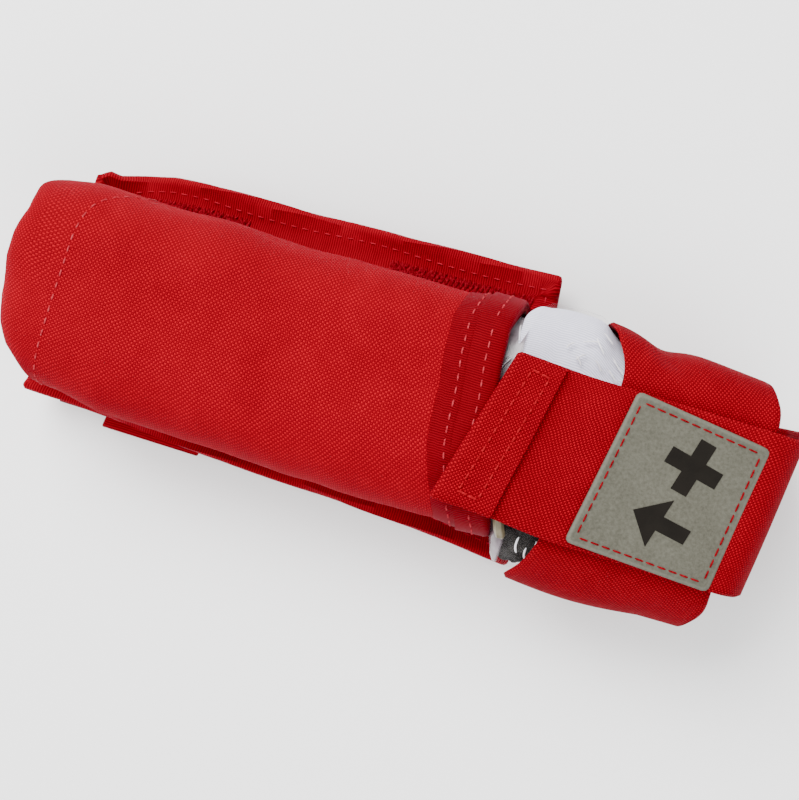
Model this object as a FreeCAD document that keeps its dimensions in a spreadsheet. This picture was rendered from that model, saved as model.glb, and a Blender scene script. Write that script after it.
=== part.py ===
import FreeCAD, Part
import os

import Sketcher
from FreeCAD import Vector

# Tourniquet in its belt pouch, lying on its back.
# +X runs along the pouch from its closed end to its mouth, +Y to the side away from the
# belt straps' free ends, +Z up through the front shell. The origin is on the surface that
# the pouch lies on, under the middle of its outer box. Expressions below give X from the
# closed end of the back panel and Y from the panel's middle; CENTRE_X and CENTRE_Y move
# them to the origin.

DIMENSIONS = {
    # back panel and the grosgrain tape that binds its edge
    "panel_length": 129,
    "panel_nose_near": 31,
    "panel_nose_far": 32,
    "panel_mouth_near": 36,
    "panel_mouth_far": 38.5,
    "panel_thickness": 2,
    "panel_back": 8.5,
    "panel_corner": 3,
    "binding_width": 12.5,
    "tape_thickness": 0.6,
    # front shell
    "nose_overhang": 12.5,
    "mouth_end": 121,
    "mouth_binding_width": 13,
    "shell_inner_half": 27.8,
    "shell_inner_top": 47.2,
    "shell_inner_corner": 18,
    "shell_fabric": 1.2,
    "nose_top_radius": 16,
    "nose_under_radius": 13,
    "nose_plan_radius": 11,
    # closure strap and the band across the tourniquet
    "webbing_width": 38,
    "webbing_thickness": 1.4,
    "strap_middle": -3,
    "strap_start": 20,
    "loop_end": 189.6,
    "fold_gap": 1.3,
    "lid_level": 49.2,
    "lid_start": 131,
    "tab_near_end": 112.4,
    "tab_far_end": 122.4,
    "tab_gap": 0.4,
    "retention_start": 144.5,
    "retention_near": 38.8,
    "retention_far": 31.5,
    "retention_top": 47.8,
    "retention_top_radius": 14,
    "retention_bottom_radius": 9,
    "pile_thickness": 0.6,
    "pile_start": 149,
    "pile_length": 30,
    "pile_width": 28,
    "label_start": 146.5,
    "label_length": 34.5,
    "label_width": 37,
    "label_thickness": 1,
    "label_corner": 3,
    # belt straps on the back
    "belt_width": 40,
    "belt_thickness": 1.5,
    "belt_first_start": 6,
    "belt_second_start": 82,
    "belt_root": 23.5,
    "belt_root_level": 7.8,
    "belt_flat_far": 14.6,
    "belt_flat_near": 15.6,
    "belt_closure": 22.6,
    "belt_end": 31,
    "belt_end_level": 6.1,
    "belt_slant": 1.84,
    "belt_bevel": 0.6,
    "anchor_gap": 0.3,
    "anchor_far": 31.5,
    "belt_pile_thickness": 0.8,
    "pile_clearance": 0.2,
    "pull_width": 27,
    "pull_thickness": 1.2,
    "pull_length": 9,
    "pull_corner": 4,
    "first_pull_reach": 34.5,
    "second_pull_reach": 33.4,
    # packed tourniquet
    "pack_start": 13,
    "pack_length": 165,
    "pack_half": 26.3,
    "pack_bottom": 11.3,
    "pack_height": 34,
    "pack_top_radius": 15,
    "pack_bottom_radius": 8.5,
    "pack_end_radius": 8,
    "head_start": 123,
    "head_near": 34.5,
    "head_far": 28.5,
    "film_thickness": 0.4,
    "band_width": 38,
    "band_thickness": 2,
    "outer_fold_start": 15.5,
    "outer_fold_end": 175.5,
    "outer_fold_low": 12,
    "outer_fold_high": 33.6,
    "inner_fold_start": 24,
    "inner_fold_end": 165,
    "inner_fold_low": 15.6,
    "inner_fold_high": 30,
    "tip_start": 140,
    "tip_length": 20,
    "tip_low": 30.2,
    "tip_thickness": 1.2,
    "buckle_start": 132,
    "buckle_length": 29,
    "buckle_width": 56,
    "buckle_low": 21,
    "buckle_thickness": 3.5,
    "buckle_bar": 5,
    "buckle_slot_width": 44,
    "buckle_corner": 5,
    "plate_start": 62,
    "plate_length": 95,
    "plate_low": 33.9,
    "plate_thickness": 2,
    "plate_corner": 6,
    "clip_start": 134,
    "clip_length": 22,
    "clip_half": 8,
    "clip_inner_half": 4,
    "clip_floor": 0.4,
    "clip_top": 43.4,
    "rod_start": 20,
    "rod_length": 140,
    "rod_radius": 3.5,
    "rod_level": 40,
    "rod_chamfer": 1.5,
    "ribbon_start": 80,
    "ribbon_width": 20,
    "ribbon_half_thickness": 0.5,
    "ribbon_low": 33.7,
    "ribbon_high": 43,
    "ribbon_slot_half": 0.9,
    "ribbon_slot_margin": 1,
    "time_strap_start": 131.5,
    "time_strap_width": 34,
    "time_strap_thickness": 0.8,
    "time_strap_gap": 0.2,
    "time_strap_near": 12,
    "time_strap_low": 20,
}

# Levels and edges worked out from the driving dimensions.
BINDING_BACK = "(dims.panel_back - dims.tape_thickness)"
PANEL_FRONT = "(dims.panel_back + dims.panel_thickness)"
BINDING_FRONT = f"({PANEL_FRONT} + dims.tape_thickness)"
STRAP_UNDER = f"({BINDING_BACK} - dims.webbing_thickness)"
STRAP_NEAR = "(dims.strap_middle - dims.webbing_width / 2)"
STRAP_FAR = "(dims.strap_middle + dims.webbing_width / 2)"
LOOP_OUTSIDE = "(dims.loop_end + dims.webbing_thickness)"
LID_TOP = "(dims.lid_level + dims.webbing_thickness)"
PLATE_TOP = "(dims.plate_low + dims.plate_thickness)"
CENTRE_X = f"(({LOOP_OUTSIDE} - dims.nose_overhang) / 2)"
PANEL_TAPER = "((dims.panel_mouth_far - dims.panel_nose_far) / dims.panel_length)"
FAR_REACH = f"(dims.panel_mouth_far - dims.panel_corner * {PANEL_TAPER})"
CENTRE_Y = f"(({FAR_REACH} - dims.retention_near) / 2)"

AXES = {"X": Vector(1, 0, 0), "Y": Vector(0, 1, 0), "Z": Vector(0, 0, 1)}
PLANES = {"XY": "XY_Plane", "XZ": "XZ_Plane", "YZ": "YZ_Plane"}

doc = FreeCAD.newDocument("tourniquet_pouch")
sub_parts = {}


def make_sheet():
    """The driving dimensions, in millimetres."""
    sheet = doc.addObject("Spreadsheet::Sheet", "dims")
    for row, (alias, value) in enumerate(DIMENSIONS.items(), start=1):
        sheet.set(f"A{row}", alias.replace("_", " "))
        sheet.set(f"B{row}", str(value))
        sheet.setAlias(f"B{row}", alias)
    doc.recompute()
    return sheet


def number(expression):
    """The present value of an expression of the sheet's cells."""
    return float(sheet.evalExpression(str(expression)))


def origin_plane(body, plane):
    return next(item for item in body.Origin.OriginFeatures if item.Role == PLANES[plane])


def outline(body, plane, name, corners, level="0"):
    """A closed sketch whose corners are (across, up) pairs of expressions."""
    sketch = body.newObject("Sketcher::SketchObject", name)
    sketch.AttachmentSupport = [(origin_plane(body, plane), "")]
    sketch.MapMode = "FlatFace"
    sketch.setExpression("AttachmentOffset.Base.z", level)
    places = [Vector(number(across), number(up), 0) for across, up in corners]
    count = len(places)
    for index in range(count):
        sketch.addGeometry(Part.LineSegment(places[index], places[(index + 1) % count]), False)
    for index in range(count):
        follower = (index + 1) % count
        sketch.addConstraint(Sketcher.Constraint("Coincident", index, 2, follower, 1))
    for index, (across, up) in enumerate(corners):
        for kind, expression in (("DistanceX", across), ("DistanceY", up)):
            value = number(expression)
            constraint = Sketcher.Constraint(kind, -1, 1, index, 1, value)
            place = sketch.addConstraint(constraint)
            sketch.renameConstraint(place, f"{kind}{index}")
            sketch.setExpression(f"Constraints.{kind}{index}", str(expression))
    return sketch


def extrude(body, plane, name, corners, start, end):
    """Pad an outline between two levels along the plane's own axis."""
    level = f"-({end})" if plane == "XZ" else start
    sketch = outline(body, plane, f"{name}_outline", corners, level)
    pad = body.newObject("PartDesign::Pad", name)
    pad.Profile = sketch
    pad.setExpression("Length", f"({end}) - ({start})")
    doc.recompute()
    return pad


def prism(name, plane, corners, start, end):
    body = doc.addObject("PartDesign::Body", name)
    extrude(body, plane, f"{name}_pad", corners, start, end)
    return body


def pocket_through(body, plane, name, corners):
    """Cut an outline right through the body, both ways from the origin plane."""
    before = body.Shape.Volume
    sketch = outline(body, plane, f"{name}_outline", corners)
    pocket = body.newObject("PartDesign::Pocket", name)
    pocket.Profile = sketch
    pocket.Type = "ThroughAll"
    pocket.SideType = "Symmetric"
    doc.recompute()
    if body.Shape.Volume >= before:
        raise RuntimeError(f"{name} cuts nothing")
    return pocket


def rectangle(left, right, low, high):
    return [(left, low), (right, low), (right, high), (left, high)]


def round_edges(body, name, radius, wanted):
    """Fillet the edges of the body's tip for which wanted(edge) is true."""
    tip = body.Tip
    names = [f"Edge{i}" for i, edge in enumerate(tip.Shape.Edges, 1) if wanted(edge)]
    fillet = body.newObject("PartDesign::Fillet", name)
    fillet.Base = (tip, names)
    fillet.setExpression("Radius", radius)
    doc.recompute()
    return fillet


def along(axis):
    """A test for straight edges that run along an axis."""
    direction = AXES[axis]

    def wanted(edge):
        straight = edge.Curve.TypeId == "Part::GeomLine"
        return straight and abs(edge.Curve.Direction.dot(direction)) > 0.999

    return wanted


def along_at(axis, other, expression):
    """A test for edges along an axis that lie at a level of another axis."""
    level = number(expression)
    runs = along(axis)
    direction = AXES[other]
    return lambda edge: runs(edge) and abs(edge.CenterOfMass.dot(direction) - level) < 1e-3


def combine(kind, name, base, tool):
    result = doc.addObject(kind, name)
    result.Base = base
    result.Tool = tool
    doc.recompute()
    return result


def cut(name, base, tool):
    return combine("Part::Cut", name, base, tool)


def common(name, base, tool):
    return combine("Part::Common", name, base, tool)


def block(name, x_range, y_range, z_range):
    """A box between pairs of expressions, in the panel's coordinates."""
    box = doc.addObject("Part::Box", name)
    ranges = (("Length", "x", x_range), ("Width", "y", y_range), ("Height", "z", z_range))
    for size, axis, (low, high) in ranges:
        box.setExpression(size, f"({high}) - ({low})")
        box.setExpression(f"Placement.Base.{axis}", f"{low}")
    return box


def finish(node, thing):
    """Name a sub-part and move it from the panel's coordinates to the origin."""
    bound = dict(thing.ExpressionEngine)
    for axis, centre in (("x", CENTRE_X), ("y", CENTRE_Y)):
        start = bound.get(f".Placement.Base.{axis}", "0")
        thing.setExpression(f"Placement.Base.{axis}", f"{start} - {centre}")
    thing.Label = node
    sub_parts[node] = thing


# ---- back panel and its binding ----

def panel_outline(inset):
    """The panel's four corners; it is drawn in a little at the nose."""
    nose = f"{inset}"
    mouth = f"dims.panel_length - {inset}"
    return [(nose, f"{inset} - dims.panel_nose_near"), (mouth, f"{inset} - dims.panel_mouth_near"),
            (mouth, f"dims.panel_mouth_far - {inset}"), (nose, f"dims.panel_nose_far - {inset}")]


def panel_slab(name, inset, low, high):
    """A slab of the panel's outline with rounded corners."""
    slab = prism(name, "XY", panel_outline(inset), low, high)
    round_edges(slab, f"{name}_corners", "dims.panel_corner", along("Z"))
    return slab


def make_panel():
    panel = panel_slab("panel_body", "dims.tape_thickness", "dims.panel_back", PANEL_FRONT)
    finish("back_panel", panel)


def make_panel_binding():
    """Tape folded over the panel's edge: a slab less the panel and less a window."""
    wrap = panel_slab("tape_slab", "0", BINDING_BACK, BINDING_FRONT)
    pocket_through(wrap, "XY", "tape_window", panel_outline("dims.binding_width"))
    filling = panel_slab("tape_filling", "dims.tape_thickness", "dims.panel_back", PANEL_FRONT)
    finish("panel_binding", cut("tape_fold", wrap, filling))


# ---- front shell and the tape on its mouth ----

def arch(name, grow, start, end, low):
    """A rounded tunnel, grown outward from the shell's inside by an expression."""
    half = f"(dims.shell_inner_half + {grow})"
    top = f"(dims.shell_inner_top + {grow})"
    body = prism(name, "YZ", rectangle(f"-{half}", half, low, top), start, end)
    radius = f"dims.shell_inner_corner + {grow}"
    round_edges(body, f"{name}_shoulders", radius, along_at("X", "Z", top))
    return body


def nose_edge(start, level):
    """A test for the edge across the closed end at one level."""
    at_start = along_at("Y", "X", start)
    at_level = along_at("Y", "Z", level)
    return lambda edge: at_start(edge) and at_level(edge)


def nose_solid(name, inset):
    """The tunnel with its closed end rounded in side view and in plan."""
    start = f"({inset} - dims.nose_overhang)"
    end = "dims.mouth_end"
    grow = f"(dims.shell_fabric - {inset})"
    low = f"({BINDING_FRONT} + {inset})"
    high = f"(dims.shell_inner_top + {grow})"
    half = f"(dims.shell_inner_half + {grow})"
    tunnel = arch(f"{name}_tunnel", grow, start, end, low)
    side = prism(f"{name}_side", "XZ", rectangle(start, end, low, high), f"-{half}", half)
    round_edges(side, f"{name}_top", f"dims.nose_top_radius - {inset}", nose_edge(start, high))
    round_edges(side, f"{name}_under", f"dims.nose_under_radius - {inset}",
                nose_edge(start, low))
    plan = prism(f"{name}_plan", "XY", rectangle(start, end, f"-{half}", half), low, high)
    round_edges(plan, f"{name}_corners", f"dims.nose_plan_radius - {inset}",
                along_at("Z", "X", start))
    return common(f"{name}_solid", common(f"{name}_profile", tunnel, side), plan)


def make_front_shell():
    """Cordura dome, closed at the nose, open at the mouth and down to the panel."""
    outside = nose_solid("shell_outside", "0")
    inside = nose_solid("shell_inside", "dims.shell_fabric")
    hollow = cut("shell_hollow", outside, inside)
    floor_start = "(dims.nose_under_radius - dims.nose_overhang)"
    floor = block("shell_floor", (floor_start, "dims.mouth_end + 1"),
                  ("-dims.shell_inner_half", "dims.shell_inner_half"),
                  (f"{BINDING_FRONT} - 1", f"{BINDING_FRONT} + 2 * dims.shell_fabric"))
    finish("front_shell", cut("shell_wall", hollow, floor))


def make_mouth_binding():
    """Tape folded over the shell's free edge, outside and inside."""
    fabric = "dims.shell_fabric"
    tape = "dims.tape_thickness"
    start = "dims.mouth_end - dims.mouth_binding_width"
    end = "dims.mouth_end"
    cover = arch("mouth_cover", f"({fabric} + {tape})", start, f"{end} + {tape}", BINDING_FRONT)
    bore = arch("mouth_bore", f"(-{tape})", f"{start} - 1", f"{end} + 2", PANEL_FRONT)
    wall = arch("mouth_wall", fabric, f"{start} - 1", end, BINDING_FRONT)
    core = arch("mouth_core", "0", f"{start} - 2", f"{end} + 1", PANEL_FRONT)
    groove = cut("mouth_groove", wall, core)
    finish("mouth_binding", cut("mouth_tape", cut("mouth_sleeve", cover, bore), groove))


# ---- closure strap: back run, end wall, lid and pull tab ----

def make_closure_strap():
    width = (STRAP_NEAR, STRAP_FAR)
    fold_level = f"({STRAP_UNDER} + dims.webbing_thickness / 2)"
    lid_fold_level = "(dims.lid_level + dims.webbing_thickness / 2)"
    fold_middle = "(dims.loop_end + dims.webbing_thickness / 2)"
    run_end = f"{fold_middle} - dims.fold_gap"
    back_run = block("back_run", ("dims.strap_start", run_end), width,
                     (STRAP_UNDER, BINDING_BACK))
    finish("closure_back_run", back_run)
    wall = block("end_wall", ("dims.loop_end", LOOP_OUTSIDE), width,
                 (f"{fold_level} + dims.fold_gap", f"{lid_fold_level} - dims.fold_gap"))
    finish("closure_end_wall", wall)
    lid = block("lid", ("dims.lid_start", run_end), width, ("dims.lid_level", LID_TOP))
    finish("closure_lid", lid)
    tab_end = "dims.lid_start - dims.tab_gap"
    corners = [("dims.tab_near_end", STRAP_NEAR), (tab_end, STRAP_NEAR),
               (tab_end, STRAP_FAR), ("dims.tab_far_end", STRAP_FAR)]
    tab = prism("tab", "XY", corners, "dims.lid_level",
                "dims.lid_level + 2 * dims.webbing_thickness")
    finish("pull_tab", tab)


def make_retention_band():
    """Webbing ring around the tourniquet, sewn to the back run, with loop pile on top."""
    start = "dims.retention_start"
    end = f"{start} + dims.webbing_width"

    def ring(name, inset, first, last):
        low = f"({BINDING_BACK} + {inset})"
        high = f"(dims.retention_top - {inset})"
        corners = rectangle(f"-(dims.retention_near - {inset})",
                            f"(dims.retention_far - {inset})", low, high)
        body = prism(name, "YZ", corners, first, last)
        round_edges(body, f"{name}_top", f"dims.retention_top_radius - {inset}",
                    along_at("X", "Z", high))
        round_edges(body, f"{name}_bottom", f"dims.retention_bottom_radius - {inset}",
                    along_at("X", "Z", low))
        return body

    outside = ring("ring_outside", "0", start, end)
    inside = ring("ring_inside", "dims.webbing_thickness", f"{start} - 1", f"{end} + 1")
    finish("retention_band", cut("ring", outside, inside))

    across = ("dims.strap_middle + 2 - dims.pile_width / 2",
              "dims.strap_middle + 2 + dims.pile_width / 2")
    length = ("dims.pile_start", "dims.pile_start + dims.pile_length")
    pile = block("loop_pile", length, across,
                 ("dims.retention_top", "dims.retention_top + dims.pile_thickness"))
    finish("retention_loop_pile", pile)
    hook = block("hook_pile", length, across,
                 ("dims.lid_level - dims.pile_thickness", "dims.lid_level"))
    finish("closure_hook_patch", hook)


def make_label_patch():
    """Blank rubber-coated patch on the lid."""
    half = "dims.label_width / 2"
    corners = rectangle("dims.label_start", "dims.label_start + dims.label_length",
                        f"dims.strap_middle - {half}", f"dims.strap_middle + {half}")
    patch = prism("label", "XY", corners, LID_TOP, f"{LID_TOP} + dims.label_thickness")
    round_edges(patch, "label_corners", "dims.label_corner", along("Z"))
    finish("label_patch", patch)


# ---- belt straps on the back ----

def make_belt_strap(order, start, reach):
    """One strap with its sewn end, hook patch, pull tab and the loop pile it closes on."""
    width = (start, f"{start} + dims.belt_width")
    end_top = "dims.belt_end_level"
    end_under = "(dims.belt_end_level - dims.belt_thickness)"
    path = [("dims.belt_root", "dims.belt_root_level"),
            ("dims.belt_flat_far", "dims.belt_thickness"),
            ("-dims.belt_flat_near", "dims.belt_thickness"),
            ("-dims.belt_closure", end_top),
            ("-dims.belt_end", end_top),
            ("-dims.belt_end", end_under),
            ("-dims.belt_closure - dims.belt_bevel", end_under),
            ("-dims.belt_flat_near - dims.belt_bevel", "0"),
            ("dims.belt_flat_far - dims.belt_bevel", "0"),
            ("dims.belt_root", "dims.belt_root_level - dims.belt_slant")]
    strap = prism(f"{order}_strap", "YZ", path, *width)
    finish(f"belt_strap_{order}", strap)

    anchor = block(f"{order}_anchor", width,
                   ("dims.belt_root + dims.anchor_gap", "dims.anchor_far"),
                   (f"{BINDING_BACK} - dims.belt_thickness", BINDING_BACK))
    finish(f"belt_anchor_{order}", anchor)

    closure = ("-dims.belt_end", "-dims.belt_closure")
    pile_under = f"({BINDING_BACK} - dims.belt_pile_thickness)"
    pile = block(f"{order}_pile", width, closure, (pile_under, BINDING_BACK))
    finish(f"belt_loop_pile_{order}", pile)
    hook = block(f"{order}_hook", width, closure,
                 (end_top, f"{pile_under} - dims.pile_clearance"))
    finish(f"belt_hook_patch_{order}", hook)

    middle = f"({start} + dims.belt_width / 2 + dims.pull_width / 4)"
    corners = rectangle(f"{middle} - dims.pull_width / 2", f"{middle} + dims.pull_width / 2",
                        f"-{reach}", f"dims.pull_length - {reach}")
    pull = prism(f"{order}_pull", "XY", corners, f"{end_under} - dims.pull_thickness", end_under)
    round_edges(pull, f"{order}_pull_corners", "dims.pull_corner",
                along_at("Z", "Y", f"-{reach}"))
    finish(f"belt_pull_tab_{order}", pull)


# ---- packed tourniquet ----

def rounded_pack(name, inset, start, near, far):
    """A rounded block of the packed tourniquet from an X to the pack's end, less an inset."""
    first = f"({start} + {inset})"
    last = f"(dims.pack_start + dims.pack_length - {inset})"
    low = f"(dims.pack_bottom + {inset})"
    high = f"(dims.pack_bottom + dims.pack_height - {inset})"
    section = rectangle(f"{inset} - {near}", f"{far} - {inset}", low, high)
    body = prism(name, "YZ", section, first, last)
    round_edges(body, f"{name}_top", f"dims.pack_top_radius - {inset}",
                along_at("X", "Z", high))
    round_edges(body, f"{name}_bottom", f"dims.pack_bottom_radius - {inset}",
                along_at("X", "Z", low))
    ends = (number(first), number(last))

    def at_end(edge):
        return any(all(abs(vertex.X - end) < 1e-3 for vertex in edge.Vertexes) for end in ends)

    round_edges(body, f"{name}_ends", f"dims.pack_end_radius - {inset}", at_end)
    return body


def pack_solid(name, inset):
    """The packed tourniquet: a slim block in the pouch and a wider head outside it."""
    slim = rounded_pack(f"{name}_slim", inset, "dims.pack_start", "dims.pack_half",
                        "dims.pack_half")
    head = rounded_pack(f"{name}_head", inset, "dims.head_start", "dims.head_near",
                        "dims.head_far")
    return combine("Part::Fuse", f"{name}_whole", slim, head)


def make_clear_wrap():
    """Sealed film around the packed tourniquet."""
    film = cut("film", pack_solid("film_outside", "0"),
               pack_solid("film_inside", "dims.film_thickness"))
    finish("clear_wrap", film)


def make_band_fold(fold):
    """One flattened turn of the black band, round at both ends."""
    half = "dims.band_width / 2"

    def turn(name, inset, spread):
        low = f"(dims.{fold}_low + {inset})"
        high = f"(dims.{fold}_high - {inset})"
        corners = rectangle(f"dims.{fold}_start + {inset}", f"dims.{fold}_end - {inset}",
                            low, high)
        body = prism(name, "XZ", corners, f"-{half} - {spread}", f"{half} + {spread}")
        round_edges(body, f"{name}_ends", f"({high} - {low}) / 2 - 0.01", along("Y"))
        return body

    outside = turn(f"{fold}_outside", "0", "0")
    inside = turn(f"{fold}_inside", "dims.band_thickness", "1")
    finish(f"band_{fold}", cut(f"{fold}_turn", outside, inside))


def make_band_tip():
    half = "dims.band_width / 2"
    tip = block("tip", ("dims.tip_start", "dims.tip_start + dims.tip_length"),
                (f"-{half}", half), ("dims.tip_low", "dims.tip_low + dims.tip_thickness"))
    finish("band_tip", tip)


def make_routing_buckle():
    """Flat buckle with two slots either side of a middle bar."""
    start = "dims.buckle_start"
    end = f"({start} + dims.buckle_length)"
    half = "dims.buckle_width / 2"
    middle_y = "((dims.head_far - dims.head_near) / 2)"
    section = rectangle(start, end, f"{middle_y} - {half}", f"{middle_y} + {half}")
    body = prism("buckle", "XY", section, "dims.buckle_low",
                 "dims.buckle_low + dims.buckle_thickness")
    round_edges(body, "buckle_corners", "dims.buckle_corner", along("Z"))
    middle = f"({start} + dims.buckle_length / 2)"
    slot_half = "dims.buckle_slot_width / 2"
    for slot, low, high in (("first", f"{start} + dims.buckle_bar",
                             f"{middle} - dims.buckle_bar / 2"),
                            ("second", f"{middle} + dims.buckle_bar / 2",
                             f"{end} - dims.buckle_bar")):
        corners = rectangle(low, high, f"{middle_y} - {slot_half}", f"{middle_y} + {slot_half}")
        pocket_through(body, "XY", f"buckle_{slot}_slot", corners)
    finish("routing_buckle", body)


def ribbon_slot(half):
    margin = "dims.ribbon_slot_margin"
    return rectangle(f"dims.ribbon_start - {margin}",
                     f"dims.ribbon_start + dims.ribbon_width + {margin}", f"-{half}", half)


def make_stabilising_plate():
    half = "dims.band_width / 2"
    start = "dims.plate_start"
    corners = rectangle(start, f"{start} + dims.plate_length", f"-{half}", half)
    body = prism("plate", "XY", corners, "dims.plate_low", PLATE_TOP)
    round_edges(body, "plate_corners", "dims.plate_corner", along("Z"))
    pocket_through(body, "XY", "plate_slot", ribbon_slot("dims.ribbon_slot_half"))
    finish("stabilising_plate", body)


def make_windlass_clip():
    """Open channel that holds the free end of the windlass rod."""
    outer = "dims.clip_half"
    inner = "dims.clip_inner_half"
    floor = f"({PLATE_TOP} + dims.clip_floor)"
    corners = [(f"-{outer}", PLATE_TOP), (outer, PLATE_TOP), (outer, "dims.clip_top"),
               (inner, "dims.clip_top"), (inner, floor), (f"-{inner}", floor),
               (f"-{inner}", "dims.clip_top"), (f"-{outer}", "dims.clip_top")]
    body = prism("clip", "YZ", corners, "dims.clip_start", "dims.clip_start + dims.clip_length")
    finish("windlass_clip", body)


def make_windlass_rod():
    """Turned rod with chamfered ends and a slot for the ribbon."""
    body = doc.addObject("PartDesign::Body", "rod")
    start = "dims.rod_start"
    end = f"({start} + dims.rod_length)"
    chamfer = "dims.rod_chamfer"
    small = f"dims.rod_radius - {chamfer}"
    half_section = [(start, "0"), (end, "0"), (end, small), (f"{end} - {chamfer}", "dims.rod_radius"),
                    (f"{start} + {chamfer}", "dims.rod_radius"), (start, small)]
    sketch = outline(body, "XZ", "rod_half_section", half_section)
    turned = body.newObject("PartDesign::Revolution", "rod_turned")
    turned.Profile = sketch
    turned.ReferenceAxis = (sketch, ["H_Axis"])
    turned.Angle = 360
    doc.recompute()
    pocket_through(body, "XY", "rod_slot", ribbon_slot("dims.ribbon_slot_half"))
    body.setExpression("Placement.Base.z", "dims.rod_level")
    finish("windlass_rod", body)


def make_ribbon():
    half = "dims.ribbon_half_thickness"
    ribbon = block("ribbon", ("dims.ribbon_start", "dims.ribbon_start + dims.ribbon_width"),
                   (f"-{half}", half), ("dims.ribbon_low", "dims.ribbon_high"))
    finish("windlass_ribbon", ribbon)


def make_time_strap():
    """White strap over the rod and down the far side, just inside the film."""
    start = "dims.time_strap_start"
    end = f"({start} + dims.time_strap_width)"
    gap = "(dims.film_thickness + dims.time_strap_gap)"

    def hoop(name, inset, first, last):
        high = f"(dims.pack_bottom + dims.pack_height - {inset})"
        corners = rectangle("-dims.time_strap_near", f"dims.head_far - {inset}",
                            "dims.time_strap_low", high)
        body = prism(name, "YZ", corners, first, last)
        shoulder = along_at("X", "Z", high)
        round_edges(body, f"{name}_shoulder", f"dims.pack_top_radius - {inset}",
                    lambda edge: shoulder(edge) and edge.CenterOfMass.y > 0)
        return body

    outside = hoop("hoop_outside", gap, start, end)
    inset = f"({gap} + dims.time_strap_thickness)"
    inside = hoop("hoop_inside", inset, f"{start} - 1", f"{end} + 1")
    below = block("hoop_below", (f"{start} - 2", f"{end} + 2"),
                  ("-dims.time_strap_near - 1", f"dims.head_far - {inset}"),
                  ("dims.pack_bottom", "dims.time_strap_low + 1"))
    near = block("hoop_near", (f"{start} - 2", f"{end} + 2"),
                 ("-dims.time_strap_near - 1", "1 - dims.time_strap_near"),
                 ("dims.pack_bottom", "dims.pack_bottom + dims.pack_height"))
    band = cut("hoop_band", cut("hoop", outside, inside), below)
    finish("time_strap", cut("hoop_arm", band, near))


def check_and_export():
    """Stop on any failed object or unsound solid, then write one STEP file per node."""
    doc.recompute()
    for item in doc.Objects:
        if "Invalid" in item.State or "Error" in item.State:
            raise RuntimeError(f"{item.Label} failed: {item.State}")
    for node, thing in sub_parts.items():
        shape = thing.Shape
        if shape.isNull() or not shape.isValid() or not shape.Solids:
            raise RuntimeError(f"{node} has no sound solid")
    os.makedirs("parts", exist_ok=True)
    for node, thing in sub_parts.items():
        thing.Shape.exportStep(f"parts/{node}.step")


sheet = make_sheet()
make_panel()
make_panel_binding()
make_front_shell()
make_mouth_binding()
make_closure_strap()
make_retention_band()
make_label_patch()
make_belt_strap("first", "dims.belt_first_start", "dims.first_pull_reach")
make_belt_strap("second", "dims.belt_second_start", "dims.second_pull_reach")
make_clear_wrap()
make_band_fold("outer_fold")
make_band_fold("inner_fold")
make_band_tip()
make_routing_buckle()
make_stabilising_plate()
make_windlass_clip()
make_windlass_rod()
make_ribbon()
make_time_strap()
check_and_export()
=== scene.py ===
"""Looks of the belt pouch with its packed tourniquet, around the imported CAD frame."""

import math

import bmesh
import bpy
import numpy as np
from mathutils import Matrix, Vector, noise
from mathutils.bvhtree import BVHTree


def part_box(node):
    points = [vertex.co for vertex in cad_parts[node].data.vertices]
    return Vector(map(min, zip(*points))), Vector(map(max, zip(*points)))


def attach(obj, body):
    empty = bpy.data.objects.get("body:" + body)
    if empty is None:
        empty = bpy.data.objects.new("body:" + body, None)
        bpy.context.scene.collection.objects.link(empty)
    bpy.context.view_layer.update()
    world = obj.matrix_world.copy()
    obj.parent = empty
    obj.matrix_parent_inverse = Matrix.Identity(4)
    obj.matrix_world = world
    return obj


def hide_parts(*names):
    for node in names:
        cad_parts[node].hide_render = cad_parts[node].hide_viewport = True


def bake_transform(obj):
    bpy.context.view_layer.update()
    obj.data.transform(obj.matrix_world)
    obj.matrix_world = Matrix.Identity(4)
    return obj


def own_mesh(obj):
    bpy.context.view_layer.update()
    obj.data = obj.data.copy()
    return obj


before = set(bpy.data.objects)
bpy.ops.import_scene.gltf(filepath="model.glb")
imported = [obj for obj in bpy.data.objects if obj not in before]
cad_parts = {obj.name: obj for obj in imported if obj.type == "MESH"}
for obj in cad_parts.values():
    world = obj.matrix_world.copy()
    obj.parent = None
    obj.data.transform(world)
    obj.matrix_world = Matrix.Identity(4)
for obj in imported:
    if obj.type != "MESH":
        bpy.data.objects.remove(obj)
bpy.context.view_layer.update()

# ---- working frame: millimetres from the panel's closed end, and from the strap's side ----

MM = 0.001
STRAP_MIDDLE = -3.0
lid_low, lid_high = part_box("closure_lid")
ORIGIN = Vector((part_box("panel_binding")[0][0],
                 (lid_low[1] + lid_high[1]) / 2 - STRAP_MIDDLE * MM, 0))
TO_FRAME = Matrix.Translation(ORIGIN) @ Matrix.Diagonal((MM, MM, MM, 1))


def at(x, y, z):
    """A point of the working frame, in the row frame in metres."""
    return TO_FRAME @ Vector((x, y, z))


def span(node):
    """A CAD node's lowest and highest corner in the working frame."""
    low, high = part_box(node)
    return [[(a - b) / MM for a, b in zip(corner, ORIGIN)] for corner in (low, high)]


SHELL_LOW, SHELL_HIGH = span("front_shell")
LID_LOW, LID_HIGH = span("closure_lid")
WALL_LOW, WALL_HIGH = span("closure_end_wall")
BACK_LOW, BACK_HIGH = span("closure_back_run")
PATCH_BASE = span("label_patch")[0][2]
WRAP_LOW, WRAP_HIGH = span("clear_wrap")
PANEL_LOW, PANEL_HIGH = span("back_panel")
WEBBING = LID_HIGH[2] - LID_LOW[2]


# ---- lines and surfaces ----

def distances(line):
    """How far along the line each of its points is."""
    steps = np.linalg.norm(np.diff(np.asarray(line, float), axis=0), axis=1)
    return np.concatenate([[0], np.cumsum(steps)])


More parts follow.
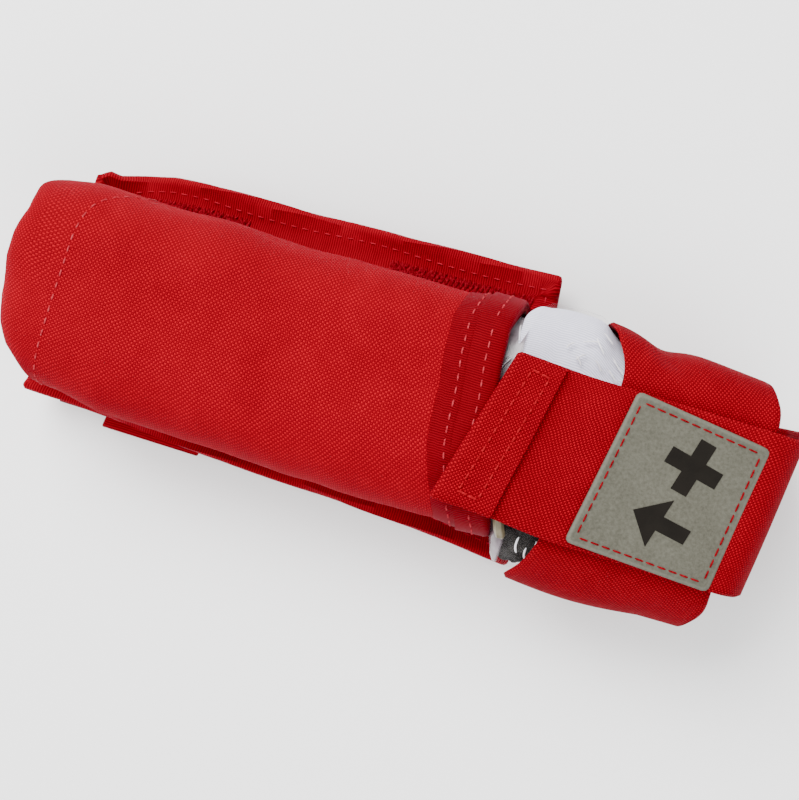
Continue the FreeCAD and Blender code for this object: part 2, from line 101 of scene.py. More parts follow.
def evenly(line, count):
    """The same line as count points at even steps."""
    line = np.asarray(line, float)
    along = distances(line)
    places = np.linspace(0, along[-1], count)
    return np.stack([np.interp(places, along, line[:, k]) for k in range(line.shape[1])], axis=1)


def rounded_rectangle(low, high, radius, steps):
    """Points round a rectangle with rounded corners; the last repeats the first."""
    loop = []
    for k, (sx, sy) in enumerate(((1, -1), (1, 1), (-1, 1), (-1, -1))):
        x = high[0] if sx > 0 else low[0]
        y = high[1] if sy > 0 else low[1]
        turn = (k - 1) * math.pi / 2
        for a in np.linspace(turn, turn + math.pi / 2, steps):
            loop.append((x + radius * (math.cos(a) - sx), y + radius * (math.sin(a) - sy)))
    return loop + loop[:1]


def smooth_line(points, count, closed=False):
    """A smooth line through the points, as count points; a closed one repeats its first."""
    points = np.asarray(points, float)
    if closed:
        points = np.vstack([points[-1:], points, points[:2]])
    else:
        first, last = 2 * points[0] - points[1], 2 * points[-1] - points[-2]
        points = np.vstack([first, points, last])
    line = []
    for a, b, c, d in zip(points, points[1:], points[2:], points[3:]):
        for t in np.linspace(0, 1, 24, endpoint=False):
            line.append(0.5 * (2 * b + (c - a) * t + (2 * a - 5 * b + 4 * c - d) * t ** 2
                               + (3 * b - a - 3 * c + d) * t ** 3))
    line.append(points[-2])
    return evenly(line, count)


def between(a, b, t):
    """The value at share t of the way from a to b."""
    return a + (b - a) * t


def ease(t):
    """A smooth rise from 0 to 1 as t goes from 0 to 1."""
    t = np.clip(t, 0, 1)
    return t * t * (3 - 2 * t)


def lumps(points, size, height, seed=0):
    """Smooth uneven heights for points, from 3-D noise of that size in millimetres."""
    flat = np.asarray(points, float).reshape(-1, 3)
    values = [noise.noise(Vector(p) / size + Vector((seed, 7.3 * seed, -2.1 * seed))) for p in flat]
    return np.array(values).reshape(np.asarray(points).shape[:-1]) * height


def squarish(angle, power):
    """A place on a round outline of unit reach; power 2 is a circle, and more is squarer."""
    c, s = math.cos(angle), math.sin(angle)
    return math.copysign(abs(c) ** (2 / power), c), math.copysign(abs(s) ** (2 / power), s)


def normals_of(grid):
    """Unit normals at the points of a grid, whose last row may repeat its first."""
    along, across = np.gradient(grid, axis=0), np.gradient(grid, axis=1)
    if np.allclose(grid[0], grid[-1]):
        along[0] = along[-1] = (grid[1] - grid[-2]) / 2
    normal = np.cross(along, across)
    return normal / np.maximum(np.linalg.norm(normal, axis=2, keepdims=True), 1e-9)


# ---- pieces ----

SHARP_EDGE = math.radians(52)


def piece(name, points, faces, looks, cloth=None, weld=False):
    """A piece from points in the working frame, with one look or a list of them.

    cloth gives each point's place on the fabric.
    """
    mesh = bpy.data.meshes.new(name)
    mesh.from_pydata([TO_FRAME @ Vector(p) for p in points], [], faces)
    if cloth is not None:
        layer = mesh.uv_layers.new(name="cloth")
        corners = np.zeros(len(mesh.loops), int)
        mesh.loops.foreach_get("vertex_index", corners)
        layer.data.foreach_set("uv", np.asarray(cloth, np.float32)[corners].ravel())
    obj = bpy.data.objects.new(name, mesh)
    bpy.context.scene.collection.objects.link(obj)
    build = bmesh.new()
    build.from_mesh(mesh)
    if weld:
        bmesh.ops.remove_doubles(build, verts=build.verts, dist=1e-6)
    bmesh.ops.recalc_face_normals(build, faces=build.faces)
    build.to_mesh(mesh)
    build.free()
    mesh.shade_smooth()
    mesh.set_sharp_from_angle(angle=SHARP_EDGE)
    for look in looks if isinstance(looks, list) else [looks]:
        mesh.materials.append(MATERIAL[look])
    return obj


def stands_for(obj, slot, *nodes):
    """The piece is shown in place of the nodes, which are hidden; slot is not used."""
    if nodes:
        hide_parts(*nodes)
    return obj


def placed(obj, body, slot, *nodes):
    """The piece rides on the body."""
    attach(obj, body)
    return stands_for(obj, slot, *nodes)


def bent(obj, bodies, start, end, slot, *nodes):
    """The piece's placement is baked into its mesh, and it is shown in place of the nodes; bodies,
    start and end are not used.
    """
    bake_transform(obj)
    return stands_for(obj, slot, *nodes)


def spread(along, over):
    """Places on the cloth for a grid, from the distances along it and across it."""
    return np.stack(np.broadcast_arrays(along[:, None], over[None, :]), axis=2)


def grid_faces(rows, columns, closed=True):
    """Faces between the rows of a grid; a closed grid's columns go once round."""
    return [(i * columns + j, i * columns + (j + 1) % columns,
             (i + 1) * columns + (j + 1) % columns, (i + 1) * columns + j)
            for i in range(rows - 1) for j in range(columns if closed else columns - 1)]


def strap(name, grid, thickness, look, closed=False):
    """A flat strap around a grid of points, with rounded edges; rows run along its length."""
    grid = np.asarray(grid, float)
    rows, columns = grid.shape[:2]
    normal = normals_of(grid) * thickness / 2
    side = np.gradient(grid, axis=1)
    side *= thickness / 2 / np.maximum(np.linalg.norm(side, axis=2, keepdims=True), 1e-9)
    near, far = grid[:, :1] - side[:, :1], grid[:, -1:] + side[:, -1:]
    ring = np.concatenate([near, grid + normal, far, (grid - normal)[:, ::-1]], axis=1)
    across = distances(grid[rows // 2])
    over = np.concatenate([[-thickness / 2], across, [across[-1] + thickness / 2], across[::-1]])
    cloth = spread(distances(grid[:, columns // 2]), over).reshape(-1, 2)
    size = ring.shape[1]
    faces = grid_faces(rows, size)
    if not closed:
        for first in (0, (rows - 1) * size):
            pairs = [(first + 1 + k, first + size - 1 - k) for k in range(columns)]
            faces += [(a, c, d, b) for (a, b), (c, d) in zip(pairs, pairs[1:])]
            faces.append((first, *pairs[0]))
            faces.append((first + columns + 1, pairs[-1][1], pairs[-1][0]))
    return piece(name, ring.reshape(-1, 3), faces, look, cloth, weld=True)


def skin(name, grid, look, cloth=None, closed=False):
    """A single surface through a grid of points; a closed one goes once round."""
    grid = np.asarray(grid, float)
    rows, columns = grid.shape[:2]
    if cloth is None:
        cloth = spread(distances(grid[:, columns // 2]), distances(grid[rows // 2]))
    faces = grid_faces(rows, columns, closed)
    return piece(name, grid.reshape(-1, 3), faces, look, cloth.reshape(-1, 2), weld=True)


def flat_piece(name, node, look, columns, ends=0.0, edges=0.0):
    """A flat piece of cloth in a node's box: ends draw in in X, edges by that much thickness."""
    low, high = span(node)
    thickness = high[2] - low[2]
    inset = edges * thickness
    grid = [[(x, y, (low[2] + high[2]) / 2)
             for y in np.linspace(low[1] + inset, high[1] - inset, columns)]
            for x in np.linspace(low[0] + ends, high[0] - ends, 31)]
    return strap(name, grid, thickness, look)


def apply_all(obj):
    """Turns what the modifiers make into the piece's own mesh."""
    made = bpy.data.meshes.new_from_object(
        obj.evaluated_get(bpy.context.evaluated_depsgraph_get()))
    made.name = obj.name
    obj.modifiers.clear()
    obj.data = made
    obj.data.shade_smooth()
    return obj


def surface_tree(*objs):
    """What nearest places on these pieces are looked up in."""
    points, faces = [], []
    graph = bpy.context.evaluated_depsgraph_get()
    for obj in objs:
        mesh = obj.evaluated_get(graph).to_mesh()
        start = len(points)
        points += [obj.matrix_world @ v.co for v in mesh.vertices]
        faces += [[start + k for k in p.vertices] for p in mesh.polygons]
    return BVHTree.FromPolygons(points, faces)


# ---- stitches ----

THREAD = 0.3  # the thread's radius
STOPS = 8  # places along the line for each stitch
STITCH_STEPS = 5
HOLE_SIDES = 8


def thread_run(points, normals, radius, sides=6):
    """Points and faces of one thread that follows points, lifted off the surface."""
    made = []
    last = len(points) - 1
    for i, (p, n) in enumerate(zip(points, normals)):
        ahead = (points[min(i + 1, last)] - points[max(i - 1, 0)]).normalized()
        out = (n - ahead * n.dot(ahead)).normalized()
        over = ahead.cross(out)
        wide = radius * (0.45 if i in (0, last) else 1)
        for k in range(sides):
            turn = 2 * math.pi * k / sides
            made.append(p + out * wide * math.cos(turn) + over * wide * math.sin(turn))
    faces = grid_faces(last + 1, sides)
    faces.append(tuple(range(sides))[::-1])
    faces.append(tuple(last * sides + k for k in range(sides)))
    return made, faces


def sew(name, tree, line, facing, body, thread="thread", pitch=3.1, length=2.2,
        radius=THREAD, hole=True, blend=None, slot="red_webbing"):
    """A row of stitches along line, laid on the surface that faces that way, in millimetres."""
    count = max(1, round(distances(line)[-1] / pitch))
    stops = evenly(line, count * STOPS + 1)
    points, faces, marks = [], [], []
    way = Vector(facing).normalized()
    share = length / pitch
    for i in range(count):
        run, ways = [], []
        for k in range(STITCH_STEPS + 1):
            place = (i + 0.5 + (k / STITCH_STEPS - 0.5) * share) * STOPS
            low = min(int(place), count * STOPS - 1)
            target = at(*between(stops[low], stops[low + 1], place - low))
            start = target + way * 0.012
            hit, normal, _, _ = tree.ray_cast(start, -way, 0.03)
            if hit is None:
                hit, normal, _, _ = tree.find_nearest(target)
            if normal.dot(way) < 0:
                normal = -normal
            lift = (0.55 if 0 < k < STITCH_STEPS else -0.5) * radius * MM
            run.append(hit + normal * lift)
            ways.append(normal)
        made, shape = thread_run(run, ways, radius * MM)
        faces += [tuple(len(points) + k for k in face) for face in shape]
        marks += [0] * len(shape)
        points += made
        # a small pit at each stitch's end, coloured near-black: painted shade in the needle hole
        if hole:
            ahead = (run[-1] - run[0]).normalized()
            centre = run[-1] + ahead * radius * 0.6 * MM + ways[-1] * 0.06 * MM
            across = ahead.cross(ways[-1]).normalized()
            ring = [centre + (ahead * math.cos(a) * 0.42 + across * math.sin(a) * 0.34) * MM
                    for a in np.linspace(0, 2 * math.pi, HOLE_SIDES, endpoint=False)]
            deep = centre - ways[-1] * 0.3 * MM
            first = len(points)
            faces.append(tuple(first + k for k in range(HOLE_SIDES)))
            faces += [(first + (k + 1) % HOLE_SIDES, first + k, first + HOLE_SIDES)
                      for k in range(HOLE_SIDES)]
            marks += [1] * (HOLE_SIDES + 1)
            points += ring + [deep]
    back = TO_FRAME.inverted()
    obj = piece(name, [back @ p for p in points], faces, [thread, "needle_hole_shade"])
    obj.data.polygons.foreach_set("material_index", marks)
    if blend:
        return bent(obj, *blend, slot)
    return placed(obj, body, slot)


# ---- materials ----

class Look:
    """A procedural material being built: small helpers around its node tree."""

    def __init__(self, name):
        self.material = bpy.data.materials.new(name)
        self.material.use_nodes = True
        self.nodes = self.material.node_tree.nodes
        self.links = self.material.node_tree.links
        self.shader = self.nodes["Principled BSDF"]
        self.place = self.nodes.new("ShaderNodeUVMap").outputs[0]
        self.nodes["UV Map"].uv_map = "cloth"
        self.spot = self.nodes.new("ShaderNodeTexCoord").outputs["Object"]

    def math(self, operation, a, b=None, c=None):
        node = self.nodes.new("ShaderNodeMath")
        node.operation = operation
        for socket, value in zip(node.inputs, (a, b, c)):
            if isinstance(value, (int, float)):
                socket.default_value = value
            elif value is not None:
                self.links.new(value, socket)
        return node.outputs[0]

    def axes(self, vector):
        node = self.nodes.new("ShaderNodeSeparateXYZ")
        self.links.new(vector, node.inputs[0])
        return node.outputs[:3]

    def noise(self, scale, detail=3.0, vector=None, rough=0.55):
        node = self.nodes.new("ShaderNodeTexNoise")
        node.inputs["Scale"].default_value = scale
        node.inputs["Detail"].default_value = detail
        node.inputs["Roughness"].default_value = rough
        self.links.new(self.spot if vector is None else vector, node.inputs["Vector"])
        return node.outputs["Fac"]

    def wave(self, value, pitch):
        """A sine from 0 to 1 with that pitch along value."""
        turn = self.math("MULTIPLY", value, 2 * math.pi / pitch)
        return self.math("MULTIPLY_ADD", self.math("SINE", turn), 0.5, 0.5)

    def ramp(self, factor, *stops):
        node = self.nodes.new("ShaderNodeValToRGB")
        ramp = node.color_ramp
        while len(ramp.elements) < len(stops):
            ramp.elements.new(0.5)
        for element, (position, colour) in zip(ramp.elements, stops):
            element.position = position
            element.color = (*colour, 1)
        self.links.new(factor, node.inputs[0])
        return node.outputs[0]

    def range(self, value, low, high, to_low=0.0, to_high=1.0):
        node = self.nodes.new("ShaderNodeMapRange")
        for socket, number in zip(node.inputs[1:5], (low, high, to_low, to_high)):
            socket.default_value = number
        self.links.new(value, node.inputs[0])
        return node.outputs[0]

    def blend(self, factor, a, b, kind="MIX"):
        node = self.nodes.new("ShaderNodeMix")
        node.data_type = "RGBA"
        node.blend_type = kind
        for socket, value in zip((node.inputs[0], node.inputs[6], node.inputs[7]),
                                 (factor, a, b)):
            if isinstance(value, (int, float)):
                socket.default_value = value
            elif isinstance(value, tuple):
                socket.default_value = (*value, 1)
            else:
                self.links.new(value, socket)
        return node.outputs[2]

    def bump(self, height, depth):
        """Relief of that depth in millimetres."""
        node = self.nodes.new("ShaderNodeBump")
        node.inputs["Strength"].default_value = 1.0
        node.inputs["Distance"].default_value = depth * MM
        self.links.new(height, node.inputs["Height"])
        return node.outputs[0]

    def finish(self, colour=None, rough=None, normal=None, **numbers):
        for socket, value in (("Base Color", colour), ("Roughness", rough), ("Normal", normal)):
            if value is None:
                continue
            if isinstance(value, (int, float)):
                self.shader.inputs[socket].default_value = value
            else:
                self.links.new(value, self.shader.inputs[socket])
        for socket, value in numbers.items():
            self.shader.inputs[socket.replace("_", " ").title().replace("Ior", "IOR")
                               ].default_value = value
        return self.material


def linear(red, green, blue):
    """A colour given as 0 to 255 screen values, as the shader wants it."""
    return tuple(((v / 255 + 0.055) / 1.055) ** 2.4 if v > 10 else v / 255 / 12.92
                 for v in (red, green, blue))


FILM_TURN = 150.0  # cloth distance once round the film
RED_SHINE = (1.0, 0.02, 0.14, 1.0)
WHITE_SHINE = (1, 1, 1, 1)
CLOTH_GLOSS = 0.02


def woven(name, dark, middle, light, pitch, depth, rough=0.7, sheen=0.05, slant=0.0):
    """Plain weave: warp crowns that catch the light, weft crowns between, dark gaps."""
    look = Look(name)
    u, v, _ = look.axes(look.place)
    if slant:
        u = look.math("MULTIPLY_ADD", v, slant, u)
    u = look.math("MULTIPLY_ADD", look.noise(0.22, 2, look.place), pitch * 0.8, u)
    v = look.math("MULTIPLY_ADD", look.noise(0.19, 2, look.place), pitch * 0.8, v)
    warp = look.math("SINE", look.math("MULTIPLY", u, 2 * math.pi / pitch))
    weft = look.math("SINE", look.math("MULTIPLY", v, 2 * math.pi / pitch))
    cell = look.math("MULTIPLY", warp, weft)
    patchy = look.noise(260, 4)
    fibres = look.noise(2400, 2)
    crown = look.math("POWER", look.math("ABSOLUTE", cell), 0.6)
    height = look.math("MULTIPLY_ADD", fibres, 0.25, crown)
    shade = look.math("MULTIPLY_ADD", cell, 0.5, 0.5)
    shade = look.math("MULTIPLY_ADD", look.math("SUBTRACT", patchy, 0.5), 0.3, shade)
    shade = look.math("MULTIPLY_ADD", look.math("SUBTRACT", fibres, 0.5), 0.25, shade)
    colour = look.ramp(shade, (0.0, middle), (0.34, dark), (0.62, middle), (0.98, light))
    wear = look.ramp(look.noise(45, 3), (0.3, (0.9, 0.9, 0.9)), (0.75, (1.08, 1.08, 1.08)))
    colour = look.blend(1.0, colour, wear, "MULTIPLY")
    shine = look.range(crown, 0, 1, rough + 0.1, rough - 0.06)
    return look.finish(colour, shine, look.bump(height, depth), sheen_weight=sheen,
                       sheen_roughness=0.45, sheen_tint=RED_SHINE,
                       specular_ior_level=CLOTH_GLOSS)


def ribbed(name, dark, light, pitch, depth, rough=0.6, sheen=0.1, tint=RED_SHINE):
    """Grosgrain: fine cords side by side, across the tape's length."""
    look = Look(name)
    run, over, _ = look.axes(look.place)
    run = look.math("MULTIPLY_ADD", look.noise(0.16, 2, look.place), pitch * 0.9, run)
    cord = look.wave(run, pitch)
    threads = look.wave(over, pitch * 0.55)
    height = look.math("MULTIPLY_ADD", threads, 0.16, cord)
    height = look.math("MULTIPLY_ADD", look.noise(2200, 2), 0.2, height)
    shade = look.math("MULTIPLY_ADD", look.math("SUBTRACT", look.noise(300, 3), 0.5), 0.5, cord)
    colour = look.ramp(shade, (0.05, dark), (0.95, light))
    return look.finish(colour, rough, look.bump(height, depth), sheen_weight=sheen,
                       sheen_roughness=0.4, sheen_tint=tint, specular_ior_level=CLOTH_GLOSS)


def fuzzy(name, dark, light, depth=0.35, tint=RED_SHINE):
    """Hook or loop pile: a felt of tiny bristles."""
    look = Look(name)
    fuzz = look.noise(1500, 4, rough=0.7)
    colour = look.ramp(fuzz, (0.3, dark), (0.7, light))
    return look.finish(colour, 0.9, look.bump(fuzz, depth), sheen_weight=0.12,
                       sheen_roughness=0.6, sheen_tint=tint, specular_ior_level=CLOTH_GLOSS)


def thread_look(name, colour, light):
    """Twisted sewing thread."""
    look = Look(name)
    twist = look.noise(1700, 2)
    tint = look.ramp(twist, (0.35, colour), (0.7, light))
    return look.finish(tint, 0.6, look.bump(twist, 0.05), specular_ior_level=CLOTH_GLOSS)


def rubber_look():
    """Matt coated patch: fine mottling, and a painted highlight along the bevelled rim."""
    look = Look("label_rubber")
    grain = look.noise(1300, 4, rough=0.7)
    cloud = look.noise(110, 3)
    shade = look.math("MULTIPLY_ADD", look.math("SUBTRACT", cloud, 0.5), 0.3, grain)
    colour = look.ramp(shade, (0.3, (0.055, 0.053, 0.04)), (0.5, (0.073, 0.071, 0.054)),
                       (0.72, (0.092, 0.09, 0.07)))
    # lighter band on the bevel: painted highlight where the rim catches the light
    from_rim, _, _ = look.axes(look.place)
    rim = look.math("MULTIPLY", look.range(from_rim, 0.5, 0.8), look.range(from_rim, 1.8, 1.3))
    colour = look.blend(look.math("MULTIPLY", rim, 0.25), colour, (0.17, 0.168, 0.135))
    return look.finish(colour, look.range(grain, 0, 1, 0.75, 0.6), look.bump(grain, 0.05),
                       specular_ior_level=0.12)


def plastic_look(name, dark, light, rough=0.42, gloss=0.5):
    """Moulded plastic with a fine spark-eroded grain."""
    look = Look(name)
    grain = look.noise(2600, 3)
    scuff = look.noise(140, 4)
    colour = look.ramp(scuff, (0.35, dark), (0.8, light))
    return look.finish(colour, look.range(scuff, 0.2, 0.8, rough - 0.08, rough + 0.14),
                       look.bump(grain, 0.03), specular_ior_level=gloss)


def film_look():
    """Thin clear film, milkier where it is doubled: in the mouth and down the near corner."""
    look = Look("clear_film")
    crease = look.noise(150, 3)
    run, round_it, _ = look.axes(look.place)

    def stretch(start, full, fade, end, most):
        """A value that rises and falls again as the place goes round the film."""
        rise = look.range(round_it, FILM_TURN * start, FILM_TURN * full, 0.0, most)
        fall = look.range(round_it, FILM_TURN * fade, FILM_TURN * end, 1.0, 0.0)
        return look.math("MULTIPLY", rise, fall)

    near_side = stretch(0.3, 0.36, 0.6, 0.66, 1.0)
    edge = look.math("SUBTRACT", run, look.math("MULTIPLY", near_side, 8.6))
    doubled = look.range(edge, 121.6, 122.4, 0.95, 0.0)
    under = stretch(0.54, 0.57, 0.84, 0.9, 0.3)
    haze = look.math("ADD", look.math("MAXIMUM", doubled, under), 0.04)
    look.links.new(haze, look.shader.inputs["Alpha"])
    colour = look.ramp(crease, (0.3, (0.06, 0.045, 0.05)), (0.5, (0.15, 0.12, 0.135)),
                       (0.75, (0.28, 0.24, 0.27)))
    return look.finish(colour, 0.25, look.bump(crease, 0.2), specular_ior_level=0.5)


def floor_look():
    """Plain matt white."""
    look = Look("floor")
    cloud = look.noise(3, 2)
    colour = look.ramp(cloud, (0.3, (0.94, 0.94, 0.94)), (0.7, (0.97, 0.97, 0.97)))
    return look.finish(colour, 0.8)


MATERIAL = {
    "cordura": woven("red_cordura", (0.11, 0, 0.003), (0.21, 0, 0.005), (0.35, 0, 0.009),
                     1.15, 0.13),
    "webbing": woven("red_webbing", (0.075, 0, 0.002), (0.175, 0, 0.004), (0.33, 0, 0.008),
                     0.98, 0.13, slant=0.18, sheen=0.03),
    "binding": ribbed("red_binding", (0.11, 0, 0.003), (0.25, 0, 0.007), 0.62, 0.08),
    "mouth_tape": ribbed("red_mouth_tape", (0.075, 0, 0.002), (0.155, 0, 0.004), 0.56, 0.07),
    "pile": fuzzy("red_pile", (0.06, 0, 0.002), (0.17, 0.001, 0.006)),
    "hooks": fuzzy("red_hooks", (0.05, 0, 0.001), (0.18, 0.003, 0.006), 0.5),
    "thread": thread_look("thread_pink", (0.24, 0.006, 0.014), (0.41, 0.04, 0.052)),
    "edge_thread": thread_look("thread_edge", (0.24, 0.002, 0.01), (0.4, 0.012, 0.03)),
    "tab_thread": thread_look("thread_red", (0.16, 0.001, 0.004), (0.36, 0.006, 0.014)),
    "tack_thread": thread_look("thread_dark_red", (0.09, 0, 0.003), (0.24, 0.004, 0.012)),
    "patch_thread": thread_look("thread_patch", (0.1, 0.001, 0.003), (0.22, 0.002, 0.007)),
    # near-black needle holes: painted shade inside the holes
    "needle_hole_shade": plastic_look("needle_hole_shade", (0.01, 0, 0), (0.03, 0, 0), 0.9, 0.02),
    "rubber": rubber_look(),
    "print": plastic_look("black_print", (0.004, 0.003, 0.002), (0.009, 0.007, 0.005), 0.6, 0.08),
    "plastic": plastic_look("black_plastic", linear(20, 20, 21), linear(38, 38, 40)),
    "black_band": fuzzy("black_band", (0.0015, 0.0012, 0.001), (0.05, 0.046, 0.04), 0.6,
                        WHITE_SHINE),
    "white_tape": ribbed("white_tape", linear(190, 189, 207), linear(227, 225, 240), 0.62,
                         0.06, rough=0.5, tint=WHITE_SHINE),
    "red_tip": ribbed("red_band_tip", linear(150, 6, 14), linear(200, 14, 26), 0.8, 0.1),
    "film": film_look(),
    # near-white film creases: painted highlights, the light glinting on the clear film's folds
    "film_fold": plastic_look("film_fold", linear(205, 200, 206), linear(245, 243, 246), 0.3),
    "film_edge": plastic_look("film_edge", (0.09, 0.07, 0.035), (0.3, 0.26, 0.17), 0.35),
    "floor": floor_look(),
}


# ---- back panel ----

PANEL_MIDDLE = (PANEL_LOW[2] + PANEL_HIGH[2]) / 2
PANEL_LENGTH = 129.0
PANEL_HALF = 36.0
PANEL_THICKNESS = PANEL_HIGH[2] - PANEL_LOW[2]
TAPE = 0.6
TAPE_WIDTH = 12.5


def panel_place(p, q):
    """A place on the panel's middle: p from its closed end and q across, both in millimetres.

    q runs from -36 at the near edge to 36 at the far edge, before the edges draw in and curl.
    """
    share = (q + PANEL_HALF) / (2 * PANEL_HALF)
    near = np.interp(p, [0, 10, 20, 57, 104, 129], [-29.4, -29.8, -30.6, -32.9, -34.2, -36.6])
    far = np.interp(p, [0, 3, 6, 12, 20, 30, 60, 129],
                    [29.8, 32.0, 31.6, 33.4, 35.2, 36.2, 36.8, 39.3])
    start, end = between(-2.6, 1.6, share), between(134.4, 126.2, share)
    x = between(start, end, p / PANEL_LENGTH)
    y = between(near, far, share)
    edge = abs(q) / PANEL_HALF
    curl = 1.6 * ease((edge - 0.84) / 0.16) * (1 + 0.5 * math.sin(p * 0.11 + q))
    corner = ease((14 - p) / 14) * ease((edge - 0.7) / 0.3)
    z = PANEL_MIDDLE + curl + corner * (4.2 if q > 0 else 2.2)
    z -= 0.7 * ease((edge - 0.7) / 0.1) * ease((0.93 - edge) / 0.1)
    return np.array([x, y, z])


def panel_normal(p, q):
    """The panel's unit normal at a place."""
    a = panel_place(p + 0.5, q) - panel_place(p - 0.5, q)
    b = panel_place(p, q + 0.5) - panel_place(p, q - 0.5)
    n = np.cross(a, b)
    return n / np.linalg.norm(n)


def make_panel():
    """The panel's cloth, its cut edge 1 mm inside the tape's fold."""
    grid = [[panel_place(p, q) for q in np.linspace(1 - PANEL_HALF, PANEL_HALF - 1, 61)]
            for p in np.linspace(1, PANEL_LENGTH - 1, 121)]
    obj = strap("back_panel_cloth", grid, PANEL_THICKNESS, "cordura")
    placed(obj, "pouch", "red_cordura", "back_panel")


def panel_rim(inset, level, count=620, radius=1.3):
    """A loop round the panel at that inset from its edge and level, and its distances."""
    half, middle = PANEL_HALF, PANEL_LENGTH / 2
    line = evenly(rounded_rectangle((0, -half), (PANEL_LENGTH, half), radius, 9), count)
    rim = []
    for x, y in line:
        if inset > 0:
            x = min(max(x, inset), PANEL_LENGTH - inset)
            y = min(max(y, inset - half), half - inset)
        else:
            x += -inset * np.clip((x - middle) / (middle - radius) * 20 - 19, -1, 1) * (
                abs(x - middle) > middle - radius)
            y += -inset * np.sign(y) * (abs(y) > half - radius)
        rim.append(panel_place(x, y) + panel_normal(x, y) * level)
    return rim, distances(line)


def make_panel_binding():
    """Tape folded over the panel's edge, from its inner edge in front to that behind."""
    flat = PANEL_THICKNESS / 2
    steps = [(TAPE_WIDTH, flat - 0.1), (TAPE_WIDTH, flat + TAPE), (9, flat + TAPE + 0.1),
             (5, flat + TAPE + 0.1), (1.6, flat + TAPE), (0.5, flat + 0.35), (0.05, flat * 0.6),
             (-0.1, 0), (0.05, -flat * 0.6), (0.5, -flat - 0.35), (1.6, -flat - TAPE),
             (6, -flat - TAPE), (TAPE_WIDTH, -flat - TAPE), (TAPE_WIDTH, -flat + 0.1)]
    rims = [panel_rim(inset, level) for inset, level in steps]
    grid = np.stack([rim for rim, _ in rims], axis=1)
    cloth = spread(rims[0][1], distances(steps))
    obj = skin("panel_binding_tape", grid, "binding", cloth, closed=True)
    return placed(obj, "pouch", "red_grosgrain", "panel_binding")


def panel_line(places, count=160):
    """A line on the panel through places (p, q), a little above the cloth."""
    line = evenly(places, count)
    return [panel_place(p, q) + panel_normal(p, q) * 2 for p, q in line]


def sew_panel(tree):
    """Stitches round the binding, and the zigzag tacks that hold the belt straps behind."""
    up = (0, 0, 1)
    rows = {"far": [(4, 32.6), (126, 32.8)], "near": [(4, -32.8), (125, -32.8)],
            "end": [(125.6, -30), (125.6, 32)], "closed_end": [(3.4, -31), (3.4, 31)]}
    for name, places in rows.items():
        sew(f"stitches_panel_{name}", tree, panel_line(places), up, "pouch", "edge_thread",
            hole=False, radius=0.16, length=1.7)
    tack_length, turns = 39, 58
    for order, start in (("first", 4.0), ("second", 83.0)):
        for row, (low, high) in enumerate(((25.4, 28.6), (26.6, 29.6))):
            zigzag = [(start + tack_length * k / turns + 0.35 * row, low if k % 2 else high)
                      for k in range(turns + 1)]
            line = [panel_place(p, q) + panel_normal(p, q) * 2 for p, q in zigzag]
            sew(f"tack_{order}_{row + 1}", tree, line, up, "pouch", "tack_thread", pitch=3.4,
                length=3.35, radius=0.34, hole=False)


# ---- front shell ----

SHELL_TOP = SHELL_HIGH[2]
SHELL_BASE = SHELL_LOW[2]
SHELL_THICKNESS = 1.2
NOSE_MIDDLE_Z = 27.0
NOSE_ROOT = 9.0
NOSE_SHARE = 0.16
MOUTH_TAPE_WIDTH = 13.8
SECTION_STEPS = 96
SECTION_TUCK = 0.339  # how far the section function goes below its middle


def mouth_end(turn):
    """Where the mouth's edge is along the pouch; turn runs from the near base over to the far."""
    return float(np.interp(turn, [0, 0.2, 0.32, 0.45, 0.58, 0.7, 0.8, 1],
                           [127.6, 126.8, 124.6, 120.8, 118.4, 117.8, 118.9, 120.4]))


def section_place(turn):
    """A place on the body's cross-section as unit width and height, rounded like a soft box."""
    return squarish(math.pi * (1.06 - 1.12 * turn), 3.1)


def side_reach(x, far):
    """How far the shell's side stands out there; the near side draws in more at the nose."""
    if far:
        return np.interp(x, [-8, -2, 8, 16, 45, 66, 124],
                         [24.6, 25.6, 27.0, 26.9, 27.9, 27.4, 28.4])
    return np.interp(x, [-8, 0, 14, 26, 45, 87, 110, 124],
                     [23.2, 24.0, 25.0, 27.6, 27.6, 28.7, 28.0, 26.6])


def nose_end(y):
    """How far the closed end stands out there: a bulge between its two drawn-in corners."""
    return float(np.interp(y, [-25, -21.2, -17.4, -12, -5.9, 3.7, 9.8, 16, 20, 23, 26],
                           [5.5, 2.3, -1.9, -4.4, -6.0, -7.0, -6.1, -4.3, -4.6, -5.6, -5.8]))


def shell_place(along, turn):
    """A place on the shell's outside: along from 0 at the nose's tip to 1 at the mouth."""
    y, z = section_place(turn)
    if along < NOSE_SHARE:
        fall = (1 - along / NOSE_SHARE) * math.pi / 2
        boxy = between(4.4, 9.0, ease((y + 0.2) / 0.8))
        wide = max(math.cos(fall), 0) ** (2 / boxy)
        tall = max(math.cos(fall), 0) ** (2 / 3)
        reach = NOSE_ROOT - nose_end(y * 24.6 * wide)
        x = NOSE_ROOT - reach * math.sin(fall) ** (2 / boxy)
    else:
        x = between(NOSE_ROOT, mouth_end(turn), (along - NOSE_SHARE) / (1 - NOSE_SHARE))
        wide = tall = 1.0
    drop = (NOSE_MIDDLE_Z - SHELL_BASE) / SECTION_TUCK
    height = NOSE_MIDDLE_Z + z * (SHELL_TOP - NOSE_MIDDLE_Z if z > 0 else drop) * tall
    across = y * side_reach(x, y > 0) * wide
    return np.array([x, across, height])


